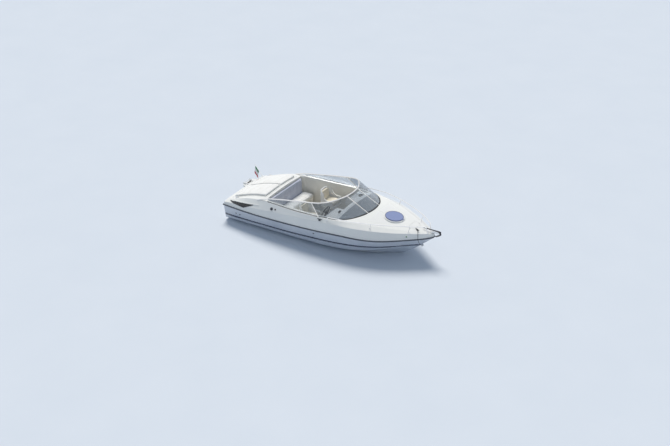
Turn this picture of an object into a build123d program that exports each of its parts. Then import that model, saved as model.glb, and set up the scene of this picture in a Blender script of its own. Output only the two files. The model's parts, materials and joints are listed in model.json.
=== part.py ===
"""Cuddy sport boat with a sterndrive, in millimetres, afloat on its waterline.

X points to the bow, Y to port, Z up.  Stations are measured from the transom, and the whole
boat is moved aft by ORIGIN_STATION when it is written, so that the origin is amidships.
"""
import math
import os
from collections import namedtuple

from build123d import *

# Frame
ORIGIN_STATION = 2700.0

# Hull and deck mouldings
SKIN = 20.0
TRANSOM = 45.0
JOINT_GAP = 0.5
SEAT_GAP = 0.3
RUN = 6.0
INNER_END = 5900.0
GUTTER_THICK = 6.0
GUTTER_OUT = 26.0
GUTTER_IN = 18.0
CHINE_FLAT = 0.07

# Spray strakes: share of the way from the keel to the chine, and their section
STRAKES = (0.36, 0.68)
STRAKE_WIDE = 42.0
STRAKE_DEEP = 16.0
STRAKE_SUNK = 10.0

# Rubrail round the joint of hull and deck
RUB_OUT = 20.0
RUB_HALF = 15.0
RUB_EDGE = 5.0

# Cockpit opening: station and half width of its corners, and the sole
COCKPIT = ((1370, 850), (1500, 905), (2000, 940), (2800, 962), (3300, 950), (3600, 905))
LINER = 12.0
SOLE_TOP = 135.0
BULKHEAD = 18.0
DOOR_HALF = 270.0
DOOR_LOW = 175.0
DOOR_HIGH = 925.0
HINGE_RADIUS = 5.0

# Cabin berths
BERTH_AFT = 3700.0
BERTH_FORE = 5300.0
BERTH_TOP = 240.0
BERTH_LOW = -140.0
WELL_HALF = 270.0
WELL_END = 4450.0
CUSHION = 90.0

# Engine hatch in the aft deck, and its sunpad
HATCH_AFT = 130.0
HATCH_FORE = 1290.0
HATCH_HALF = 770.0
HATCH_LOW = 500.0
PAD_THICK = 48.0
PAD_BORDER = 35.0
PAD_SPLIT = 12.0
ENGINE_AFT = 220.0
ENGINE_FORE = 1020.0
ENGINE_HALF = 290.0
ENGINE_LOW = -110.0
ENGINE_TOP = 430.0
ENGINE_BED = 190.0

# Aft bench
BENCH_DEPTH = 440.0
BENCH_HALF = 800.0
BENCH_TOP = 430.0
BENCH_PAD = 100.0
BACK_TOP = 915.0
BACK_THICK = 100.0

# Dashes
DASH_TOP = 965.0
DASH_LOW = 640.0
DASH_AFT = 3200.0
DASH_INNER = 300.0
WHEEL_Y = -560.0
WHEEL_Z = 850.0
WHEEL_RADIUS = 175.0
WHEEL_TUBE = 14.0
WHEEL_TILT = 22.0
WHEEL_REACH = 120.0

# Cockpit seats
SEAT_X = 2560.0
SEAT_Y = 540.0
SEAT_WIDTH = 500.0
SEAT_DEPTH = 480.0
SEAT_HEIGHT = 400.0
SEAT_BACK = 430.0
SEAT_SHELL = 28.0
SEAT_BOTTOM = 25.0
SEAT_ROUND = 185.0
SEAT_FRONT = 60.0
SHOULDER = 150.0
CUSHION_GAP = 2.0
CUSHION_HIGH = 110.0
POST_RADIUS = 38.0
POST_HEAD = 90.0
POST_FOOT = 150.0

# Windshield: station and half breadth of the foot of the glass, then of its upper edge and height
GLASS = 6.0
GASKET = 26.0
GASKET_TOP = 8.0
GLASS_RIM_GAP = 3.0
GLASS_OVER = 45.0
RIM_RADIUS = 17.0
MULLION_RADIUS = 11.0

# Anchor locker lid
LOCKER_AFT = 5440.0
LOCKER_MID = 5550.0
LOCKER_FORE = 5640.0
LOCKER_WIDE = 200.0
LOCKER_NARROW = 118.0
LOCKER_LOW = 750.0

# Round deck hatch
DECK_HATCH_X = 4920.0
DECK_HATCH_RADIUS = 250.0
DECK_HATCH_BORE = 215.0
DECK_HATCH_RING = 292.0
HATCH_SEAT = 18.3
HATCH_LID = 16.0
HATCH_KNUCKLE = 45.0
KNUCKLE_HALF = 7.0
KNUCKLE_RADIUS = 8.0
KNUCKLE_GAP = 3.0
KNUCKLE_X = 261.0
KNUCKLE_Z = 26.0

# Air intakes in the quarters: outline of stations and heights, brow above and louvres
INTAKE = ((160.0, 634.0), (1060.0, 776.0), (730.0, 620.0))
INTAKE_INNER = ((300.0, 648.0), (935.0, 746.0), (705.0, 636.0))
INTAKE_BACK = 2.0
INTAKE_PROUD = 7.0
LOUVRES = 7
LOUVRE_WIDE = 14.0
LOUVRE_LEAN = 34.0
BROW = ((300.0, 668.0), (300.0, 680.0), (1240.0, 829.0), (1240.0, 814.0))
BROW_PROUD = 10.0
SIDE_NEAR = 780.0
SIDE_FAR = 1200.0

# Stainless rails
RAIL_RADIUS = 12.5
FOOT_RADIUS = 26.0

# Sterndrive
STEER_X = -120.0
STEER_PIN = 12.5
TRIM_X = -165.0
TRIM_Z = -25.0
TRIM_PIN = 13.5
TRIM_BOSS = 28.0
PIN_GAP = 0.5
SHIELD = 30.0
SHIELD_HALF = 190.0
SHIELD_LOW = -215.0
SHIELD_HIGH = 170.0
SHIELD_ROUND = 70.0
BRACKET = 45.0
BRACKET_HALF = 40.0
BRACKET_GAP = 6.0
BRACKET_EDGE = 18.0
YOKE_AFT = 70.0
YOKE_FORE = 20.0
YOKE_HALF = 120.0
YOKE_WALL = 28.0
YOKE_PLATE = 32.0
YOKE_FLOOR = 30.0
YOKE_LOW = -158.0
YOKE_HIGH = 54.0
YOKE_ROUND = 50.0
LEG_HALF = 82.0
LEG_TAIL = 56.0
PLATE_Z = -262.0
PLATE = 12.0
PROP_X = -700.0
PROP_Z = -480.0
PROP_RADIUS = 180.0
PROP_SHAFT = 16.0
PROP_HUB = 50.0
PROP_TAIL = 42.0
PROP_REACH = 55.0
PROP_PITCH = 480.0
BLADES = 3
BLADE_ROOT = 40.0
CASE_NOSE = -330.0
CASE_RADIUS = 58.0
SKEG = 190.0
RAM_PIN = 9.0
RAM_EYE_PIN = 6.0
RAM_EYE_PLAY = 4.5
RAM_EYE_WALL = 8.0
RAM_EYE_HALF = 13.0
RAM_X = -140.0
RAM_Y = 150.0
RAM_Z = -140.0
RAM_EYE_X = -520.0
RAM_EYE_Z = -60.0
RAM_BARREL = 265.0
RAM_RADIUS = 24.0
RAM_BOSS = 22.0
ROD_RADIUS = 10.0
ROD_INSIDE = 70.0
PIN_END = 18.0

# Swim step, ladder, flag, eyes and line
STEP_REACH = 420.0
STEP_NEAR = 430.0
STEP_FAR = 970.0
STEP_TOP = 385.0
STEP_THICK = 50.0
LADDER_RAILS = (560.0, 800.0)
LADDER_LENGTH = 340.0
FLAG_THICK = 2.0
FLAG_FLY = 280.0
EYE_THICK = 12.0
EYE_BORE = 11.0
EYE_X = 5818.0
EYE_Z = 405.0
STERN_EYE_REACH = 42.0
STERN_EYE_Y = 330.0
STERN_EYE_Z = 250.0
LINE_RADIUS = 6.0

Station = namedtuple(
    "Station",
    "x keel_z chine_b chine_z sheer_b sheer_z shoulder_b shoulder_z coaming_b coaming_z crown_z")

STATIONS = [Station(*row) for row in (
    (0, -330, 955, 75, 1030, 500, 1000, 575, 860, 605, 622),
    (600, -334, 962, 82, 1110, 520, 1070, 655, 905, 800, 832),
    (1200, -338, 966, 90, 1160, 540, 1122, 722, 965, 928, 972),
    (2000, -340, 966, 98, 1175, 562, 1147, 802, 1045, 955, 1005),
    (2800, -340, 958, 104, 1175, 592, 1147, 865, 1080, 968, 1028),
    (3500, -332, 925, 118, 1155, 628, 1115, 895, 1035, 985, 1062),
    (4200, -296, 825, 165, 1095, 650, 1030, 908, 870, 990, 1078),
    (4900, -160, 580, 290, 905, 662, 805, 892, 625, 950, 995),
    (5500, 190, 275, 470, 520, 684, 470, 866, 345, 898, 920),
    (5900, 520, 90, 620, 215, 702, 200, 848, 135, 862, 868),
    (6120, 716, 14, 728, 34, 740, 34, 828, 22, 836, 838),
)]
BOW = STATIONS[-1].x


def row_at(x):
    """The station table read at x, between its rows."""
    for near, far in zip(STATIONS, STATIONS[1:]):
        if near.x <= x <= far.x:
            part = (x - near.x) / (far.x - near.x)
            return Station(*(a + (b - a) * part for a, b in zip(near, far)))
    raise ValueError("no station at %s" % x)


def ring_points(s):
    """Half of one cross-section as breadths and heights, from the keel up to the crown."""
    inner_chine = ((1 - CHINE_FLAT) * s.chine_b,
                   s.keel_z + (1 - CHINE_FLAT / 2) * (s.chine_z - s.keel_z))
    return [(0, s.keel_z), inner_chine, (s.chine_b, s.chine_z), (s.sheer_b, s.sheer_z),
            (s.shoulder_b, s.shoulder_z), (s.coaming_b, s.coaming_z), (0, s.crown_z)]


def inset_ring(points, depth):
    """The half ring moved inward by depth, corner by corner."""
    chain = [(-points[1][0], points[1][1])] + list(points) + [(-points[-2][0], points[-2][1])]
    moved = []
    for before, here, after in zip(chain, chain[1:], chain[2:]):
        first = math.atan2(here[1] - before[1], here[0] - before[0])
        second = math.atan2(after[1] - here[1], after[0] - here[0])
        bisector = (first + second) / 2 + math.pi / 2
        reach = depth / math.cos((second - first) / 2)
        moved.append((here[0] + reach * math.cos(bisector), here[1] + reach * math.sin(bisector)))
    moved[0] = (0, moved[0][1])
    moved[-1] = (0, points[-1][1] - depth)
    return moved


def section_wire(x, half):
    """Closed wire at station x from a half ring; the crown is an arc."""
    port = [Vector(x, b, z) for b, z in half]
    starboard = [Vector(x, -b, z) for b, z in half]
    edges = [Edge.make_line(a, b) for a, b in zip(port[:-1], port[1:-1])]
    edges.append(Edge.make_three_point_arc(port[-2], port[-1], starboard[-2]))
    back = starboard[:-1][::-1]
    edges += [Edge.make_line(a, b) for a, b in zip(back[:-1], back[1:])]
    return Wire(edges)


def body_loft(depth=0.0, first=0.0, last=BOW):
    """Smooth solid of hull and deck together between two stations, moved inward by depth."""
    rows = [s for s in STATIONS if first + 50 < s.x < last - 50]
    rows = [row_at(first)] + rows + [row_at(last)]
    return Solid.make_loft([section_wire(s.x, inset_ring(ring_points(s), depth)) for s in rows])


def sheer_block(lift, far):
    """Block from the sheer surface moved by lift, up or down to the height far."""
    wires = []
    for s in STATIONS:
        x = s.x + 200 * ((s.x == BOW) - (s.x == 0))
        z = s.sheer_z + lift
        wires.append(Wire.make_polygon(
            [(x, -1600, z), (x, 1600, z), (x, 1600, far), (x, -1600, far)], close=True))
    return Solid.make_loft(wires)


def prism(points, low, high):
    """Upright prism over a plan outline."""
    face = Face(Wire.make_polygon([(x, y, low) for x, y in points], close=True))
    return Solid.extrude(face, Vector(0, 0, high - low))


def side_prism(points, near, far):
    """Prism across the boat over an outline of stations and heights."""
    face = Face(Wire.make_polygon([(x, near, z) for x, z in points], close=True))
    return Solid.extrude(face, Vector(0, far - near, 0))


def box(x, y, z):
    """Box between pairs of limits."""
    return Pos(x[0], y[0], z[0]) * Box(
        x[1] - x[0], y[1] - y[0], z[1] - z[0], align=(Align.MIN, Align.MIN, Align.MIN))


def rod(start, end, radius, end_radius=None):
    """Round bar between two points, tapered when end_radius is given."""
    start, end = Vector(*start), Vector(*end)
    plane = Plane(origin=start, z_dir=end - start)
    if end_radius is None:
        return plane * Cylinder(radius, (end - start).length,
                                align=(Align.CENTER, Align.CENTER, Align.MIN))
    return plane * Cone(radius, end_radius, (end - start).length,
                        align=(Align.CENTER, Align.CENTER, Align.MIN))


def corner_radii(points):
    """Radius of each corner: 0.45 of its shorter run over the tangent of half its turn."""
    radii = []
    for a, b, c in zip(points, points[1:], points[2:]):
        first, second = Vector(*b) - Vector(*a), Vector(*c) - Vector(*b)
        half = math.radians(first.get_angle(second)) / 2
        radii.append(0.45 * min(first.length, second.length) / math.tan(half))
    return radii


def tube(points, radii, radius):
    """Round tube along a line with rounded corners."""
    path = FilletPolyline(*points, radius=radii)
    profile = Plane(origin=path @ 0, z_dir=path % 0) * Circle(radius)
    return sweep(profile, path=path)


def flip(solid):
    """The same solid on the other side of the boat."""
    return mirror(solid, Plane.XZ)


def pair(solid):
    """The solid and its mirror image, as two solids of one node."""
    return Compound(children=[solid, flip(solid)])


def cockpit_plan(shrink, front=0.0):
    """Outline of the cockpit opening, made smaller all round."""
    port = [(x + shrink * (x == COCKPIT[0][0]), b - shrink) for x, b in COCKPIT]
    port[-1] = (COCKPIT[-1][0] - shrink + front, port[-1][1])
    return port + [(x, -b) for x, b in reversed(port)]


parts = {}


def keep(name, solid):
    """Remember one sub-part under its node name."""
    parts[name] = solid


def deck_z(x, b):
    """Height of the deck over the point at station x and breadth b."""
    hits = outer.find_intersection_points(Axis((x, b, 2000), (0, 0, -1)))
    return max(point.Z for point, _ in hits)


def offset_plan(points, grow):
    """Plan outline moved outward by grow, along both directions."""
    middle = sum(x for x, _ in points) / len(points)
    return [(x + grow * math.copysign(1, x - middle), y + grow * math.copysign(1, y))
            for x, y in points]


def gutter(plan, low):
    """Flange under the edge of a lid, on the inside of the deck."""
    ring = prism(offset_plan(plan, GUTTER_OUT), low, 1200)
    ring = ring - prism(offset_plan(plan, -GUTTER_IN), low - 10, 1300)
    return (inner & ring) - body_loft(SKIN + GUTTER_THICK, TRANSOM, INNER_END)


def strake(share, rows):
    """Spray strake: a three-cornered ledge under the bottom, share of the way to the chine."""
    wires = []
    for s in rows:
        keel, chine = ring_points(s)[:2]
        along = Vector(0, chine[0] - keel[0], chine[1] - keel[1]).normalized()
        out = Vector(0, along.Z, -along.Y)
        fade = 0.3 if s is rows[-1] else 1.0
        edge = Vector(s.x, share * chine[0], keel[1] + share * (chine[1] - keel[1]))
        root = edge - out * STRAKE_SUNK
        wires.append(Wire.make_polygon(
            [root - along * STRAKE_WIDE * fade, root, edge + out * STRAKE_DEEP * fade], close=True))
    return Solid.make_loft(wires)


# Mouldings
hatch_plan = [(HATCH_AFT, -HATCH_HALF), (HATCH_AFT, HATCH_HALF),
              (HATCH_FORE, HATCH_HALF), (HATCH_FORE, -HATCH_HALF)]
locker_plan = [(LOCKER_AFT, -LOCKER_WIDE), (LOCKER_AFT, LOCKER_WIDE), (LOCKER_MID, LOCKER_WIDE),
               (LOCKER_FORE, LOCKER_NARROW), (LOCKER_FORE, -LOCKER_NARROW), (LOCKER_MID, -LOCKER_WIDE)]
outer = body_loft()
inner = body_loft(SKIN, TRANSOM, INNER_END)
room = body_loft(SKIN + SEAT_GAP, TRANSOM + SEAT_GAP, INNER_END)
lid_skin = outer - body_loft(SKIN - SEAT_GAP, TRANSOM, INNER_END)
skin = outer - (inner - gutter(hatch_plan, HATCH_LOW) - gutter(locker_plan, LOCKER_LOW))

hull = skin & sheer_block(-JOINT_GAP, -1500)
deck = skin & sheer_block(JOINT_GAP, 2500)
hatch_lid = lid_skin & prism(hatch_plan, HATCH_LOW, 1200)
locker_lid = lid_skin & prism(locker_plan, LOCKER_LOW, 1200)
slope = math.degrees(math.atan2(row_at(5200).crown_z - row_at(4640).crown_z, 560))
hatch_plane = Plane(origin=(DECK_HATCH_X, 0, deck_z(DECK_HATCH_X, 0)),
                    x_dir=(math.cos(math.radians(slope)), 0, math.sin(math.radians(slope))),
                    z_dir=(-math.sin(math.radians(slope)), 0, math.cos(math.radians(slope))))

deck = deck - prism(cockpit_plan(0), 600, 1400) - hatch_plane * Cylinder(DECK_HATCH_BORE, 200)
for plan, low in ((hatch_plan, HATCH_LOW), (locker_plan, LOCKER_LOW)):
    deck = deck - (prism(offset_plan(plan, RUN), low, 1200) - inner)
for share in STRAKES:
    ledge = strake(share, [s for s in STATIONS if s.x < DECK_HATCH_X])
    hull += ledge
    hull += flip(ledge)
brow = side_prism(BROW, SIDE_NEAR, SIDE_FAR) & body_loft(-BROW_PROUD) - outer
deck += brow
deck += flip(brow)
keep("hull_shell", hull)
keep("deck_moulding", deck)
keep("engine_hatch", hatch_lid)
keep("anchor_locker_lid", locker_lid)

band = []
for s in STATIONS:
    x = s.x + 12 * (s.x == BOW) - RUB_OUT * (s.x == 0)
    b, z = s.sheer_b + RUB_OUT, s.sheer_z
    near, low, high = b - RUB_EDGE, z - RUB_HALF, z + RUB_HALF
    corners = [(-near, low), (near, low), (b, low + RUB_EDGE), (b, high - RUB_EDGE), (near, high),
               (-near, high), (-b, high - RUB_EDGE), (-b, low + RUB_EDGE)]
    band.append(Wire.make_polygon([(x, y, h) for y, h in corners], close=True))
rubrail = Solid.make_loft(band) - outer
keep("rubrail", rubrail)

# Cockpit
tub = prism(cockpit_plan(-LINER, LINER), SOLE_TOP - LINER, 1300)
tub = tub - prism(cockpit_plan(0, 100), SOLE_TOP, 1400)
liner = tub & room & box((0, COCKPIT[-1][0]), (-1500, 1500), (-500, 1500))
keep("cockpit_liner", liner)

front = COCKPIT[-1][0] + SEAT_GAP
bulkhead = room & box((front, front + BULKHEAD), (-1500, 1500), (-500, 1500))
bulkhead = bulkhead - box((front - 50, front + 50), (-DOOR_HALF, DOOR_HALF), (DOOR_LOW, DOOR_HIGH))
hinge_x = front - HINGE_RADIUS - SEAT_GAP
hinge_y = DOOR_HALF - RUN - 1
for z in (DOOR_LOW + 120, DOOR_HIGH - 180):
    bulkhead += rod((hinge_x, hinge_y, z), (hinge_x, hinge_y, z + 60), HINGE_RADIUS)
    bulkhead += box((front - 4, front + 2), (hinge_y + 2, hinge_y + 34), (z, z + 60))
keep("cabin_bulkhead", bulkhead)
door = box((front, front + BULKHEAD), (-DOOR_HALF + RUN, DOOR_HALF - RUN),
           (DOOR_LOW + RUN, DOOR_HIGH - RUN))
keep("companionway_door", door)

berth = room & box((BERTH_AFT, BERTH_FORE), (-1500, 1500), (BERTH_LOW, BERTH_TOP))
berth = berth - box((0, WELL_END), (-WELL_HALF, WELL_HALF), (BERTH_LOW + 30, 1000))
keep("berth_base", berth)
mattress = room & box((BERTH_AFT + 15, BERTH_FORE - 20), (-1500, 1500),
                      (BERTH_TOP + SEAT_GAP, BERTH_TOP + CUSHION))
mattress = body_loft(SKIN + 25, TRANSOM, INNER_END - 20) & mattress
side_cushion = mattress & box((0, 9999), (WELL_HALF + 10, 1500), (0, 999))
end_cushion = mattress & box((WELL_END + 20, 9999), (-WELL_HALF + 10, WELL_HALF - 10), (0, 999))
keep("berth_cushions", Compound(children=[side_cushion, flip(side_cushion), end_cushion]))


# Engine and sunpad
engine = box((ENGINE_AFT, ENGINE_FORE), (-ENGINE_HALF, ENGINE_HALF), (ENGINE_LOW, ENGINE_TOP))
engine = fillet(engine.edges().filter_by(Axis.X), 60)
for y in (-ENGINE_BED, ENGINE_BED):
    engine += room & box((ENGINE_AFT + 60, ENGINE_FORE - 60), (y - 30, y + 30), (-400, ENGINE_LOW + 20))
keep("engine_block", engine)
pad_low = Pos(0, 0, SEAT_GAP) * outer
pad_high = Pos(0, 0, PAD_THICK) * outer
pad = box((HATCH_AFT + PAD_BORDER, HATCH_FORE - PAD_BORDER),
          (PAD_SPLIT / 2, HATCH_HALF - PAD_BORDER), (500, 1300)) & pad_high
keep("sunpad", pair(pad - pad_low))

# Aft bench
bench_plan = prism(cockpit_plan(3), 0, 1200)
bench_aft = COCKPIT[0][0] + 8
bench_end = bench_aft + BENCH_DEPTH
keep("bench_base", box((bench_aft, bench_end), (-BENCH_HALF, BENCH_HALF),
                       (SOLE_TOP, BENCH_TOP)) & bench_plan)
bench_pad = box((bench_aft + BACK_THICK + 4, bench_end + 15), (-BENCH_HALF, BENCH_HALF),
                (BENCH_TOP + SEAT_GAP, BENCH_TOP + BENCH_PAD))
keep("bench_cushion", fillet(bench_pad.edges().filter_by(Axis.Y), 25))
back_low = BENCH_TOP + SEAT_GAP
bench_back = side_prism([(bench_aft, back_low), (bench_aft + BACK_THICK, back_low),
                         (bench_aft + BACK_THICK * 0.7, BACK_TOP), (bench_aft, BACK_TOP)],
                        -BENCH_HALF, BENCH_HALF)
keep("bench_backrest", bench_back & bench_plan)

# Dashes
dash_front = COCKPIT[-1][0]
dash_outline = [(dash_front, DASH_TOP), (DASH_AFT + 110, DASH_TOP), (DASH_AFT + 20, DASH_TOP - 60),
                (DASH_AFT, DASH_TOP - 150), (DASH_AFT + 130, DASH_LOW), (dash_front, DASH_LOW)]
dash = side_prism(dash_outline, -1000, -DASH_INNER) & prism(cockpit_plan(SEAT_GAP, 50), 0, 1200)
keep("helm_dash", dash)
keep("companion_dash", flip(dash))
tilt = math.radians(WHEEL_TILT)
wheel_axis = Vector(-math.cos(tilt), 0, math.sin(tilt))
column_foot = Vector(DASH_AFT + 9, WHEEL_Y, WHEEL_Z)
wheel_centre = column_foot + wheel_axis * WHEEL_REACH
column = rod(column_foot - wheel_axis * 40, wheel_centre - wheel_axis * (30 + SEAT_GAP), 26) - dash
keep("steering_column", column)
wheel_plane = Plane(origin=wheel_centre, x_dir=(0, 1, 0), z_dir=wheel_axis)
wheel = Torus(WHEEL_RADIUS, WHEEL_TUBE) + Pos(0, 0, -14) * Cylinder(38, 32)
for turn in (90, 210, 330):
    spoke = Pos((WHEEL_RADIUS + 20) / 2, 0, -6) * Box(WHEEL_RADIUS - 20, 26, 8)
    wheel += Rot(0, 0, turn) * spoke
keep("steering_wheel", wheel_plane * wheel)
dial = rod((3480, SEAT_Y + 140, DASH_TOP + SEAT_GAP), (3480, SEAT_Y + 140, DASH_TOP + 14), 72)
compass = rod((3520, WHEEL_Y + 60, DASH_TOP + SEAT_GAP), (3520, WHEEL_Y + 60, DASH_TOP + 24), 52)
bowl = Pos(3520, WHEEL_Y + 60, DASH_TOP + 24) * Sphere(42)
compass += bowl & box((3000, 4000), (-1500, 0), (DASH_TOP + 10, 1200))
keep("dash_instruments", Compound(children=[dial, compass]))
lever_x = DASH_AFT - 180
control = box((lever_x - 70, lever_x + 70), (-990, -885), (700, 860))
control += rod((lever_x, -885, 800), (lever_x, -860, 800), 24)
control += rod((lever_x, -868, 800), (lever_x + 30, -868, 925), 9)
control += Pos(lever_x + 30, -868, 930) * Sphere(19)
keep("throttle_control", control & prism(cockpit_plan(SEAT_GAP), 0, 1400))

# Cockpit seats
def bucket(y, low, high, shrink, corner):
    """Rounded form of a bucket seat, moved inward by shrink: plan and front view crossed."""
    aft, fore = SEAT_X - SEAT_DEPTH / 2 + shrink, SEAT_X + SEAT_DEPTH / 2 - shrink
    half = SEAT_WIDTH / 2 - shrink
    plan = box((aft, fore), (y - half, y + half), (low, high))
    plan = fillet(plan.edges().filter_by(Axis.Z).group_by(Axis.X)[0], SEAT_ROUND - shrink)
    plan = fillet(plan.edges().filter_by(Axis.Z).group_by(Axis.X)[-1], SEAT_FRONT - shrink)
    view = box((aft, fore), (y - half, y + half), (low, high))
    view = fillet(view.edges().filter_by(Axis.X).group_by(Axis.Z)[-1], SHOULDER - shrink)
    return plan & fillet(view.edges().filter_by(Axis.X).group_by(Axis.Z)[0], corner)


def seat_parts(side):
    """Pedestal, shell and cushion of one bucket seat."""
    y = side * SEAT_Y
    seat_z = SOLE_TOP + SEAT_HEIGHT
    top = seat_z + SEAT_BACK
    swivel_z = seat_z - SEAT_BOTTOM - SEAT_GAP
    post = rod((SEAT_X, y, SOLE_TOP), (SEAT_X, y, SOLE_TOP + 12), POST_FOOT)
    post += rod((SEAT_X, y, SOLE_TOP), (SEAT_X, y, swivel_z), POST_RADIUS)
    post += rod((SEAT_X, y, swivel_z - 35), (SEAT_X, y, swivel_z), POST_RADIUS, POST_HEAD)
    fore = SEAT_X + SEAT_DEPTH
    hollow = box((SEAT_X - SEAT_DEPTH / 2 + SEAT_SHELL, fore),
                 (y - SEAT_WIDTH / 2 + SEAT_SHELL, y + SEAT_WIDTH / 2 - SEAT_SHELL),
                 (seat_z, top + 50))
    hollow = fillet(hollow.edges().filter_by(Axis.Z).group_by(Axis.X)[0], SEAT_ROUND - SEAT_SHELL)
    scoop = side_prism([(SEAT_X - 90, top + 60), (SEAT_X - 60, seat_z + 250), (SEAT_X + 20, seat_z + 190),
                        (fore, seat_z + 130), (fore, top + 60)], y - SEAT_WIDTH, y + SEAT_WIDTH)
    scoop = fillet(scoop.edges().filter_by(Axis.Y).sort_by(Axis.Z)[1:3], 45)
    shell = bucket(y, seat_z - SEAT_BOTTOM, top, 0, SEAT_BOTTOM - 3) - hollow - scoop
    pad_fore = SEAT_X + SEAT_DEPTH / 2 - SEAT_SHELL
    pad = side_prism([(SEAT_X - SEAT_DEPTH, seat_z), (pad_fore, seat_z), (pad_fore, seat_z + CUSHION_HIGH),
                      (SEAT_X - 130, seat_z + CUSHION_HIGH), (SEAT_X - 160, top),
                      (SEAT_X - SEAT_DEPTH, top)], y - SEAT_WIDTH, y + SEAT_WIDTH)
    shape = bucket(y, seat_z + SEAT_GAP, top - SEAT_BOTTOM, SEAT_SHELL + CUSHION_GAP, 12)
    return post, shell, pad & shape


for side, name in ((1, "companion"), (-1, "helm")):
    post, shell, inside = seat_parts(side)
    keep(name + "_seat_pedestal", post)
    keep(name + "_seat_shell", shell)
    keep(name + "_seat_cushion", inside)

# Windshield: station and half breadth of the foot, then station, half breadth and height of the top
SIDE_PANE = ((1480, 975, 1460, 938, 1022), (2100, 1020, 1960, 932, 1118),
             (2700, 1042, 2450, 930, 1208), (3138, 1035, 2860, 928, 1272))
CORNER_PANE = ((3182, 1032, 2893, 927, 1277), (3560, 980, 3110, 912, 1315),
               (3840, 880, 3290, 840, 1345), (4050, 690, 3430, 660, 1366),
               (4190, 480, 3540, 450, 1381), (4255, 305, 3598, 290, 1388))
CENTRE_PANE = ((4262, 268, 3606, 254, 1389), (4298, 0, 3630, 0, 1392))


def foot_top(row):
    """Foot of the glass on the deck and its upper edge, for one row of a pane."""
    foot = Vector(row[0], row[1], deck_z(row[0], row[1]))
    return foot, Vector(row[2], row[3], row[4])


def strip(rows, thickness, low, high, to_top=False):
    """Sheet along the rows, from low above the foot to high above it, or past the top."""
    pairs = [foot_top(r) for r in rows]
    wires = []
    for i, (foot, top) in enumerate(pairs):
        along = pairs[min(i + 1, len(pairs) - 1)][0] - pairs[max(i - 1, 0)][0]
        up = (top - foot).normalized()
        out = along.cross(up).normalized() * (thickness / 2)
        a = foot + up * low
        b = (top if to_top else foot) + up * high
        wires.append(Wire.make_polygon([a - out, a + out, b + out, b - out], close=True))
    return Solid.make_loft(wires)


def mirrored_rows(rows):
    """Rows from port to starboard, turned over the centreline."""
    return list(rows) + [(r[0], -r[1], r[2], -r[3], r[4]) for r in reversed(rows[:-1])]


rim_points = [(1120, 955, 915)] + [r[2:] for r in SIDE_PANE] + [
    r[2:] for r in CORNER_PANE[1:]] + [CENTRE_PANE[1][2:]]
rim_points += [(x, -b, z) for x, b, z in reversed(rim_points[:-1])]
frame = tube(rim_points, corner_radii(rim_points), RIM_RADIUS)
posts = []
for aft, fore in ((SIDE_PANE[-1], CORNER_PANE[0]), (CORNER_PANE[-1], CENTRE_PANE[0])):
    foot, top = foot_top([(a + b) / 2 for a, b in zip(aft, fore)])
    post = rod(foot - (top - foot) * 0.05, top, MULLION_RADIUS)
    posts += [post, flip(post)]
for post in posts:
    frame += post
frame = frame - outer
keep("windshield_frame", frame)
gaskets = [strip(rows, GASKET, -GASKET, GASKET_TOP) - outer for rows in
           (SIDE_PANE, CORNER_PANE, mirrored_rows(CENTRE_PANE))]
keep("windshield_gasket", Compound(children=[
    gaskets[0], flip(gaskets[0]), gaskets[1], flip(gaskets[1]), gaskets[2]]))
rim_clear = tube(rim_points, corner_radii(rim_points), RIM_RADIUS + GLASS_RIM_GAP)


def pane(rows, seat):
    """Glass standing in its gasket, cut off just under the rim."""
    sheet = strip(rows, GLASS, 0, GLASS_OVER, True) - rim_clear - seat
    return sorted(sheet.solids(), key=lambda solid: solid.volume)[-1]


keep("glass_sides", pair(pane(SIDE_PANE, gaskets[0])))
keep("glass_corners", pair(pane(CORNER_PANE, gaskets[1])))
keep("glass_centre", pane(mirrored_rows(CENTRE_PANE), gaskets[2]))

# Round deck hatch
hatch_ring = rod((0, 0, -12), (0, 0, 18), DECK_HATCH_RING)
hatch_ring = chamfer(hatch_ring.edges().group_by(Axis.Z)[-1], 8)
hatch_ring = hatch_ring - Cylinder(DECK_HATCH_BORE, 200)
for y in (-HATCH_KNUCKLE, HATCH_KNUCKLE):
    hatch_ring += rod((KNUCKLE_X, y - KNUCKLE_HALF, KNUCKLE_Z), (KNUCKLE_X, y + KNUCKLE_HALF, KNUCKLE_Z),
                      KNUCKLE_RADIUS)
    hatch_ring += box((KNUCKLE_X + 1, KNUCKLE_X + KNUCKLE_RADIUS), (y - KNUCKLE_HALF, y + KNUCKLE_HALF),
                      (10, KNUCKLE_Z))
keep("deck_hatch_frame", hatch_plane * hatch_ring - outer)
lid = rod((0, 0, HATCH_SEAT), (0, 0, HATCH_SEAT + HATCH_LID), DECK_HATCH_RADIUS)
lid = chamfer(lid.edges().group_by(Axis.Z)[-1], 5)
lug_half = HATCH_KNUCKLE - KNUCKLE_HALF - KNUCKLE_GAP
lug = rod((KNUCKLE_X, -lug_half, KNUCKLE_Z), (KNUCKLE_X, lug_half, KNUCKLE_Z), KNUCKLE_RADIUS - 1)
lug += box((DECK_HATCH_RADIUS - 15, KNUCKLE_X), (-lug_half, lug_half), (KNUCKLE_Z - 4, KNUCKLE_Z + 4))
keep("deck_hatch_lid", hatch_plane * (lid + lug))

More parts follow.
